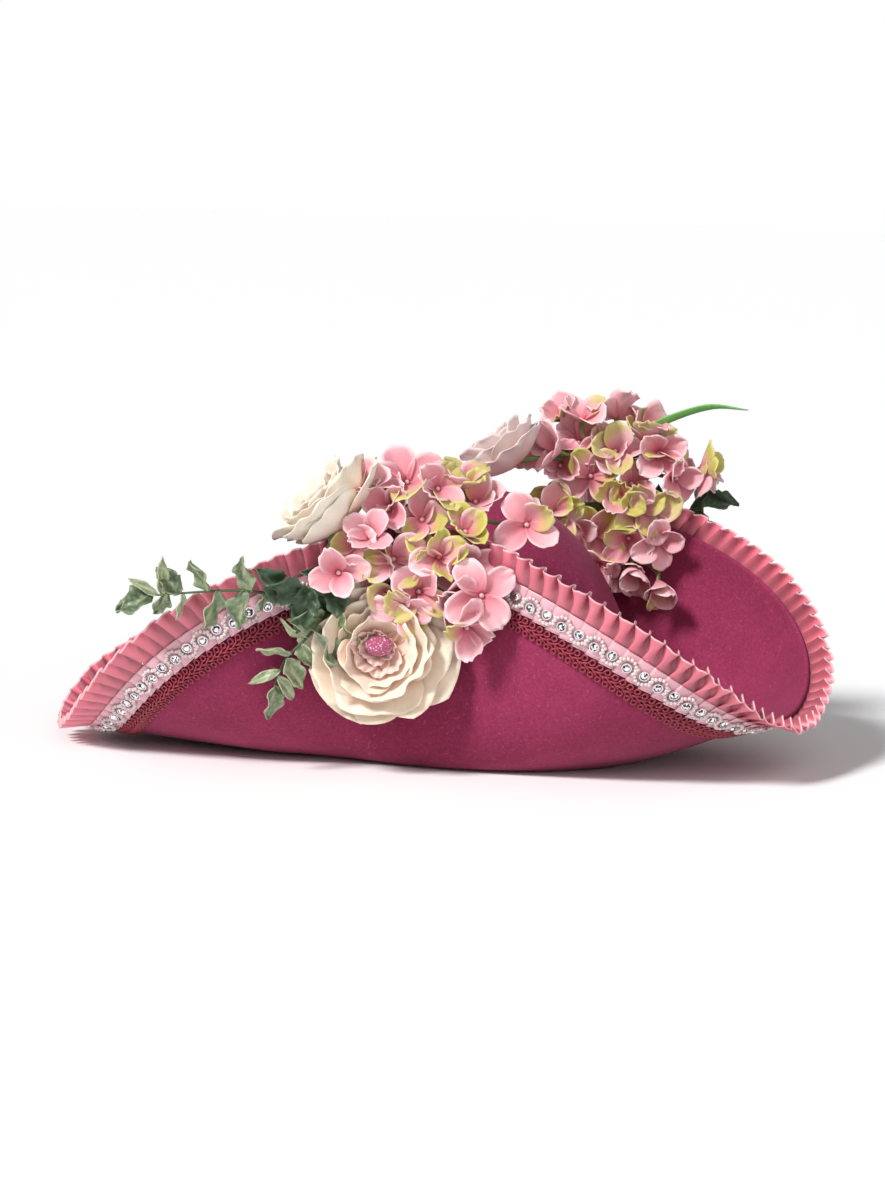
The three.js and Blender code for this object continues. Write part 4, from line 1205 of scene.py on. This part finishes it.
def set_petal(pile, sheet, shape, axes, place, angle, foot, tint):
    """Puts one petal on a bloom: turned round its axis by an angle, its foot at (radius, height)."""
    right, up, facing = axes
    x, y, z = shape
    a = math.radians(angle)
    radial = x + foot[0]
    px = radial * math.cos(a) - y * math.sin(a)
    py = radial * math.sin(a) + y * math.cos(a)
    points = place + px[:, None] * right + py[:, None] * up + (z + foot[1])[:, None] * facing
    u, v, faces = sheet
    pile.add(points, faces, np.stack([u, v], -1), tint)


def blend_colours(first, second, share):
    share = np.clip(share, 0.0, 1.0)[:, None]
    return np.asarray(first) * (1 - share) + np.asarray(second) * share


# Rings of a peony's petals, from its back to its heart: how many, length, half width, lean at foot and
# tip, foot radius and height, cup, ruffle (shares of the radius), then how pink the ring is
OPEN_RINGS = (
    (5, 0.98, 0.6, (80, 56), 0.06, 0.02, 0.24, 0.026, 0.0),
    (5, 0.9, 0.58, (74, 40), 0.07, 0.08, 0.3, 0.028, 0.06),
    (5, 0.8, 0.5, (70, 20), 0.08, 0.12, 0.36, 0.028, 0.16),
    (5, 0.64, 0.4, (60, 2), 0.07, 0.16, 0.42, 0.026, 0.3),
    (7, 0.5, 0.16, (62, 30), 0.05, 0.18, 0.6, 0.02, 0.8),
    (5, 0.36, 0.13, (44, 20), 0.03, 0.22, 0.6, 0.02, 1.0),
)
CUPPED_RINGS = (
    (5, 1.04, 0.62, (82, 34), 0.06, 0.0, 0.34, 0.024, 0.0),
    (5, 1.02, 0.6, (68, 20), 0.06, 0.04, 0.36, 0.024, 0.05),
    (6, 0.96, 0.5, (54, 12), 0.06, 0.08, 0.4, 0.024, 0.12),
    (6, 0.84, 0.42, (42, 2), 0.05, 0.1, 0.4, 0.022, 0.2),
    (6, 0.66, 0.32, (34, 0), 0.03, 0.12, 0.45, 0.02, 0.4),
)
CREAM = (0.93, 0.79, 0.63)
BLUSH = (0.9, 0.6, 0.48)
PALE_PINK = (0.9, 0.6, 0.56)
APRICOT = (0.8, 0.38, 0.18)
IVORY = (0.92, 0.85, 0.72)
PEACH = (0.9, 0.58, 0.48)
GREY_PINK = (0.88, 0.75, 0.73)


def peony(name, rings, outer, inner, heart_lift, seed):
    along, down, out, turn, tilt, size = PEONIES[name]
    axes = bloom_frame(turn, tilt)
    place = spray_place((along, down, out))
    radius, depth = PEONY_RADIUS * size, PEONY_DEPTH * size
    chance = np.random.default_rng(seed)
    sheet = flat_sheet(14, 14)
    u, v = sheet[:2]
    pile = Pile()
    for ring, (count, long, wide, lean, foot_r, foot_z, cup, ruffle, pink) in enumerate(rings):
        for k in range(count):
            angle = 360 * (k + 0.5 * (ring % 2)) / count + chance.normal(0, 6) + 17 * ring
            grow = 1 + chance.normal(0, 0.07)
            tipped = (lean[0] + chance.normal(0, 4), lean[1] + chance.normal(0, 10))
            shape = petal_shape(
                u,
                v,
                long * radius * grow,
                wide * radius * grow,
                tipped,
                cup,
                ruffle * radius,
                chance.uniform(0, 6.28),
                round_tip=chance.uniform(0.62, 0.82),
                notch=0.16 * chance.random() ** 2,
                curl=chance.uniform(10, 60),
                twist=chance.normal(0, 5),
            )
            tint = blend_colours(inner, outer, v**0.8 * (1.25 - pink) + 0.15 * (1 - pink))
            tint = blend_colours(tint, APRICOT, (1 - v) ** 2.2 * 0.9)
            tint = blend_colours(tint, PALE_PINK, np.full(len(u), pink * 0.7))
            tint = tint * (0.97 + 0.05 * np.sin(9 * u + 4 * k))[:, None]
            foot = (foot_r * radius, foot_z * depth)
            lifted = place + axes[1] * heart_lift * size * ring / 5
            set_petal(pile, sheet, shape, axes, lifted, angle, foot, tint)
    stem = curve_through([place + axes[2] * depth * 0.2, *[spray_place(p) for p in PEONY_STEMS[name]]], 9)
    core = Pile()
    add_tubes(core, [stem], 1.7, 8, (0.3, 0.5, 0.8), tint=(0.16, 0.26, 0.08))
    petals = tinted_finish("Petals of " + name, 0.72, 900.0, sheen=0.25, under=0.12)
    bloom = make_piece(name + "_petals", pile, [petals], [name])
    thicken(bloom, bpy.context.scene.hat_sizes.petal_thickness)
    make_piece(name + "_stem", core, [tinted_finish("Stem of " + name, 0.6, 500.0)], [name])
    bpy.ops.mesh.primitive_ico_sphere_add(subdivisions=4, radius=0.006 * size, location=(0, 0, 0))
    points, faces = take_template()
    swell = 1 + 0.06 * np.sin(points[:, 0] * 1.1) * np.cos(points[:, 1] * 0.9)
    heart = Pile()
    middle = place + axes[1] * heart_lift * size * 1.1 + axes[2] * depth * 0.62
    heart.add((points * swell[:, None] * (1.15, 0.85, 0.9)) @ np.stack(axes) + middle, faces)
    make_piece(name + "_heart", heart, [glitter_finish()], [name])


class PeoniesOperator(bpy.types.Operator):
    """Three open peonies of cloth petals with glittering hearts"""

    bl_idname = "tricorn.peonies"
    bl_label = "Peonies"

    def execute(self, context):
        peony("peony_front", OPEN_RINGS, CREAM, BLUSH, 4.5, 21)
        peony("peony_upper", CUPPED_RINGS, IVORY, PEACH, 0.0, 8)
        peony("peony_pale", CUPPED_RINGS, GREY_PINK, GREY_PINK, 0.0, 4)
        return {"FINISHED"}


ROSE = (0.78, 0.33, 0.38)
ROSE_LIGHT = (0.91, 0.62, 0.64)
ROSE_DEEP = (0.56, 0.07, 0.13)
LIME = (0.5, 0.45, 0.08)
LIME_LIGHT = (0.64, 0.6, 0.2)


def floret_tint(kind, u, v, chance):
    """Petal colour: deep at the throat, partly the cloth's own deeper pink and partly painted shade, full in
    the middle, paler at the edge, lime on some.
    """
    edge = np.clip((v - 0.8) / 0.2, 0, 1) ** 2 + np.clip((np.abs(u) - 0.75) / 0.25, 0, 1) ** 2
    deep = {"deep": 0.35}.get(kind, 0.0) + 0.3 * chance.random()
    main = blend_colours(ROSE, ROSE_DEEP, np.full(len(u), deep))
    tint = blend_colours(main, ROSE_LIGHT, edge * 0.8 + chance.uniform(0.2, 0.9) * v)
    limes = {"lime": 0.92, "mixed": 0.5}.get(kind, 0.06)
    if chance.random() < limes:
        lean = chance.uniform(-0.9, 0.9)
        yellow = np.clip((v - 0.32 + lean * u * 0.55) * 2.4, 0, 1)
        full = blend_colours(LIME, LIME_LIGHT, edge + 0.4 * v * chance.random())
        tint = blend_colours(tint, full, yellow * (1.0 if kind == "lime" else 0.85))
    # Darker at the throat: partly the cloth's own deeper pink, partly painted shade in the floret's middle.
    return blend_colours(tint, ROSE_DEEP, (1 - v) ** 2.5 * 0.75)


def hydrangea(name, seed):
    chance = np.random.default_rng(seed)
    sheet = flat_sheet(9, 9)
    u, v = sheet[:2]
    petals, stems, beads = Pile(), Pile(), Pile()
    bpy.ops.mesh.primitive_ico_sphere_add(subdivisions=2, radius=0.0013, location=(0, 0, 0))
    bead = take_template()
    feet = [spray_place(place) for place in STALKS[name]]
    green = (0.2, 0.27, 0.07)
    add_tubes(stems, [curve_through(feet, 10)], 2.6, 8, (0.4, 0.5, 0.7), tint=green)
    for foot, along, down, out, turn, tilt, size, spin, spread, kind in FLORETS[name]:
        place = spray_place((along, down, out))
        axes = bloom_frame(turn, tilt)
        radius = FLORET_RADIUS * size
        for k in range(4):
            angle = spin + 90 * k + chance.normal(0, 11)
            first = 50 * spread + 32 + chance.normal(0, 9)
            shape = petal_shape(
                u,
                v,
                radius * (1.14 + chance.normal(0, 0.08)),
                radius * chance.uniform(0.42, 0.52),
                (first, first + 20 * (spread - 0.5) + chance.normal(0, 20)),
                chance.uniform(0.45, 0.85),
                radius * chance.uniform(0.02, 0.07),
                chance.uniform(0, 6.28),
                neck=0.28,
                round_tip=chance.uniform(0.84, 0.94),
                curl=chance.uniform(-50, 50),
                twist=chance.normal(0, 16),
            )
            raised = 0.5 if k % 2 else 0.0
            tint = floret_tint(kind, u, v, chance)
            set_petal(petals, sheet, shape, axes, place, angle, (0.9, raised - 1.0), tint)
        eye = (0.75, 0.12, 0.1) if chance.random() < 0.3 else (0.72, 0.4, 0.42)
        beads.add(bead[0] + place + axes[2] * 0.6, bead[1], None, eye)
        stem = curve_through([place - axes[2] * 1.0, place - axes[2] * 8.0, feet[foot]], 8)
        width = np.linspace(1.3, 0.7, 8)
        add_tubes(stems, [stem], width, 6, (0.3, 0.4, 0.85), tint=green)
    cloth = tinted_finish("Floret Cloth " + name, 0.66, 800.0, sheen=0.2, under=0.12)
    blooms = make_piece(name + "_petals", petals, [cloth], [name])
    thicken(blooms, bpy.context.scene.hat_sizes.petal_thickness * 1.1)
    make_piece(name + "_stems", stems, [tinted_finish("Stems " + name, 0.55, 500.0)], [name])
    eyes = tinted_finish("Floret Eyes " + name, 0.35, 700.0, coat=0.4)
    make_piece(name + "_eyes", beads, [eyes], [name])


class HydrangeasOperator(bpy.types.Operator):
    """Hydrangea florets of both sprays, with their stems"""

    bl_idname = "tricorn.hydrangeas"
    bl_label = "Hydrangeas"

    def execute(self, context):
        hydrangea("hydrangea_near", 31)
        hydrangea("hydrangea_far", 47)
        return {"FINISHED"}


# Leaves, as shares of their length: half width, teeth, droop and crinkle, then the colour of the
# blade and that of its veins and edge
LEAF_KINDS = {
    "round": (0.27, 2, 0.4, 0.06, (0.1, 0.16, 0.06), (0.42, 0.46, 0.29)),
    "slender": (0.15, 0, 0.6, 0.04, (0.22, 0.28, 0.13), (0.5, 0.54, 0.36)),
    "mottled": (0.33, 3, 0.35, 0.08, (0.035, 0.075, 0.028), (0.34, 0.38, 0.23)),
    "variegated": (0.4, 4, 0.4, 0.07, (0.12, 0.24, 0.06), (0.5, 0.56, 0.34)),
    "serrated": (0.3, 5, 0.4, 0.06, (0.014, 0.045, 0.018), (0.08, 0.15, 0.07)),
}


def leaf_shape(sheet, foot, direction, flat, long, kind, chance):
    u, v, faces = sheet
    width, teeth, droop, crinkle, blade, edge = LEAF_KINDS[kind]
    across = unit(rotate(unit(np.cross(direction, flat)), direction, chance.uniform(-55, 55)))
    normal = unit(np.cross(across, direction))
    outline = np.sin(np.pi * np.clip(v, 0, 1) ** 0.82) ** 0.8
    if teeth:
        notches = np.mod(teeth * (v + 0.2 * np.abs(u)), 1.0)
        outline = outline * (1 + 0.34 * (notches - 0.4) * np.abs(u) ** 3)
    side = u * width * long * outline
    bend = droop * chance.uniform(-0.5, 1.0)
    keel = chance.uniform(0.2, 0.7)
    lift = keel * width * long * np.abs(u) ** 1.3 * outline - bend * long * v**2
    lift = lift + crinkle * long * np.sin(11 * v + 3 * u + chance.uniform(0, 6)) * (0.3 + np.abs(u))
    run = v * long * (1 - 0.2 * abs(bend) * v)
    points = foot + direction * run[:, None] + across * side[:, None] + normal * lift[:, None]
    vein = np.exp(-((u / 0.12) ** 2)) * 0.5 + 0.3 * (np.sin(24 * (v - 0.5 * np.abs(u))) > 0.7)
    pale = chance.uniform(0.1, 0.6) * (0.5 + 0.5 * np.sin(7 * v + 5 * u + chance.uniform(0, 6)))
    tint = blend_colours(blade, edge, vein + pale + np.clip((np.abs(u) - 0.7) / 0.3, 0, 1) * 0.6)
    return points, faces, np.stack([u, v], -1), tint


class GreeneryOperator(bpy.types.Operator):
    """Sprigs of leaves and the blade of grass"""

    bl_idname = "tricorn.greenery"
    bl_label = "Greenery"

    def execute(self, context):
        colours = context.scene.hat_colours
        sheet = flat_sheet(8, 14)
        for index, (name, twig) in enumerate(TWIGS.items()):
            chance = np.random.default_rng(60 + index)
            stem = curve_through([spray_place(place) for place in twig["stem"]], 40)
            middle = twig["stem"][len(twig["stem"]) // 2]
            raised = (middle[0], middle[1], middle[2] + 0.1)
            outward = unit(spray_place(raised) - spray_place(middle))
            leaves, wood = Pile(), Pile()
            add_tubes(wood, [stem[::2]], np.linspace(1.05, 0.45, 20), 6, outward, tint=(0.05, 0.1, 0.035))
            tangents = unit(np.gradient(stem, axis=0))
            for at, side, size, kind in twig["leaves"]:
                here = int(at * (len(stem) - 1))
                direction = unit(rotate(tangents[here], outward, side) + outward * 0.15)
                foot = stem[here] - direction * 0.4
                parts = leaf_shape(sheet, foot, direction, outward, LEAF_LENGTH * size, kind, chance)
                leaves.add(*parts)
            waxed = tinted_finish("Leaf Wax " + name, 0.45, 600.0, coat=0.15)
            piece = make_piece(name + "_leaves", leaves, [waxed], [name])
            thicken(piece, 0.0004)
            make_piece(name + "_stem", wood, [tinted_finish("Twig " + name, 0.5, 500.0)], [name])
        points = np.array([spray_place(row[:3]) for row in BLADE])
        spine = curve_through(points, 24)
        width = np.interp(np.linspace(0, 1, 24), np.linspace(0, 1, 5), [row[3] for row in BLADE])
        level = unit(np.cross(np.gradient(spine, axis=0), (0.0, 0.0, 1.0)))
        steep = unit(np.cross(level, np.gradient(spine, axis=0)))
        across = unit(0.5 * level + 0.87 * steep)
        u = np.linspace(-1, 1, 5)
        keel = level[:, None] * 0.8
        blade = spine[:, None] + across[:, None] * (u[None, :, None] * width[:, None, None] * 2.3)
        blade = blade + keel * (1 - np.abs(u))[None, :, None]
        pile = Pile()
        run, over = np.meshgrid(np.linspace(0, 40, 24), u, indexing="ij")
        green = np.asarray(colours.grass)
        tint = blend_colours(green, green * 1.5, 0.5 + 0.5 * np.sin(9 * over.ravel()))
        pile.add(blade, grid_faces(24, 5), np.stack([run, over], -1), tint)
        moulded = tinted_finish("Grass Green", 0.42, 500.0, coat=0.1)
        thicken(make_piece("grass", pile, [moulded], ["grass_blade"]), 0.0005)
        return {"FINISHED"}


# Stage


class StageOperator(bpy.types.Operator):
    """Pale floor, soft light and the camera"""

    bl_idname = "tricorn.stage"
    bl_label = "Stage"

    def execute(self, context):
        bpy.ops.mesh.primitive_circle_add(vertices=96, radius=FLOOR_RADIUS, fill_type="NGON")
        floor = context.object
        floor.name = "floor"
        floor.data.materials.append(Finish("Pale Floor", 0.9, WHITE).material)
        world = bpy.data.worlds.new("Studio")
        context.scene.world = world
        world.use_nodes = True
        nodes, links = world.node_tree.nodes, world.node_tree.links
        surround = nodes["Background"]
        surround.inputs["Strength"].default_value = SURROUND_STRENGTH
        backdrop = nodes.new("ShaderNodeBackground")
        seen = nodes.new("ShaderNodeLightPath")
        either = nodes.new("ShaderNodeMixShader")
        links.new(seen.outputs["Is Camera Ray"], either.inputs["Fac"])
        for index, shader in enumerate((surround, backdrop), 1):
            shader.inputs["Color"].default_value = (*WHITE, 1.0)
            links.new(shader.outputs[0], either.inputs[index])
        links.new(either.outputs[0], nodes["World Output"].inputs["Surface"])
        for name, (where, strength, spread) in LIGHTS.items():
            bpy.ops.object.light_add(type="SUN", location=where)
            light = context.object
            light.name = name
            light.data.energy = strength
            light.data.angle = math.radians(spread)
            light.rotation_mode = "QUATERNION"
            light.rotation_quaternion = (Vector(LIT_POINT) - Vector(where)).to_track_quat("-Z", "Y")
        azimuth, elevation = math.radians(CAMERA_AZIMUTH), math.radians(CAMERA_ELEVATION)
        aim = Vector(HAT_MIDDLE) + Vector(CAMERA_AIM)
        level = math.cos(elevation)
        back = Vector((math.sin(azimuth) * level, -math.cos(azimuth) * level, math.sin(elevation)))
        bpy.ops.object.camera_add(location=aim + back * CAMERA_DISTANCE)
        camera = context.object
        camera.rotation_euler = (-back).to_track_quat("-Z", "Y").to_euler("XYZ")
        camera.rotation_euler.rotate_axis("Z", math.radians(CAMERA_ROLL))
        camera.data.sensor_width = SENSOR
        camera.data.lens = FOCAL_PIXELS / FRAME_PIXELS * SENSOR
        context.scene.camera = camera
        context.scene.view_settings.view_transform = "Standard"
        return {"FINISHED"}


OPERATORS = (
    StageOperator,
    FeltOperator,
    RuffleOperator,
    PearlRibbonOperator,
    StonesOperator,
    BraidOperator,
    PeoniesOperator,
    HydrangeasOperator,
    GreeneryOperator,
)


class HatPanel(bpy.types.Panel):
    """The hat's sizes, colours and pieces"""

    bl_idname = "VIEW3D_PT_tricorn"
    bl_label = "Tricorn Hat"
    bl_space_type = "VIEW_3D"
    bl_region_type = "UI"
    bl_category = "Tricorn Hat"

    def draw(self, context):
        for group in (context.scene.hat_sizes, context.scene.hat_colours):
            box = self.layout.box()
            for name in group.__annotations__:
                box.prop(group, name)
        for operator in OPERATORS:
            self.layout.operator(operator.bl_idname)


CLASSES = (HatSizes, HatColours, *OPERATORS, HatPanel)


def register():
    for item in CLASSES:
        bpy.utils.register_class(item)
    bpy.types.Scene.hat_sizes = bpy.props.PointerProperty(type=HatSizes)
    bpy.types.Scene.hat_colours = bpy.props.PointerProperty(type=HatColours)


def unregister():
    del bpy.types.Scene.hat_colours
    del bpy.types.Scene.hat_sizes
    for item in reversed(CLASSES):
        bpy.utils.unregister_class(item)


def main():
    register()
    for operator in OPERATORS:
        deselect()
        name = operator.bl_idname.split(".")[1]
        getattr(bpy.ops.tricorn, name)()
    deselect()
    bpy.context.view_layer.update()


if __name__ == "__main__":
    main()
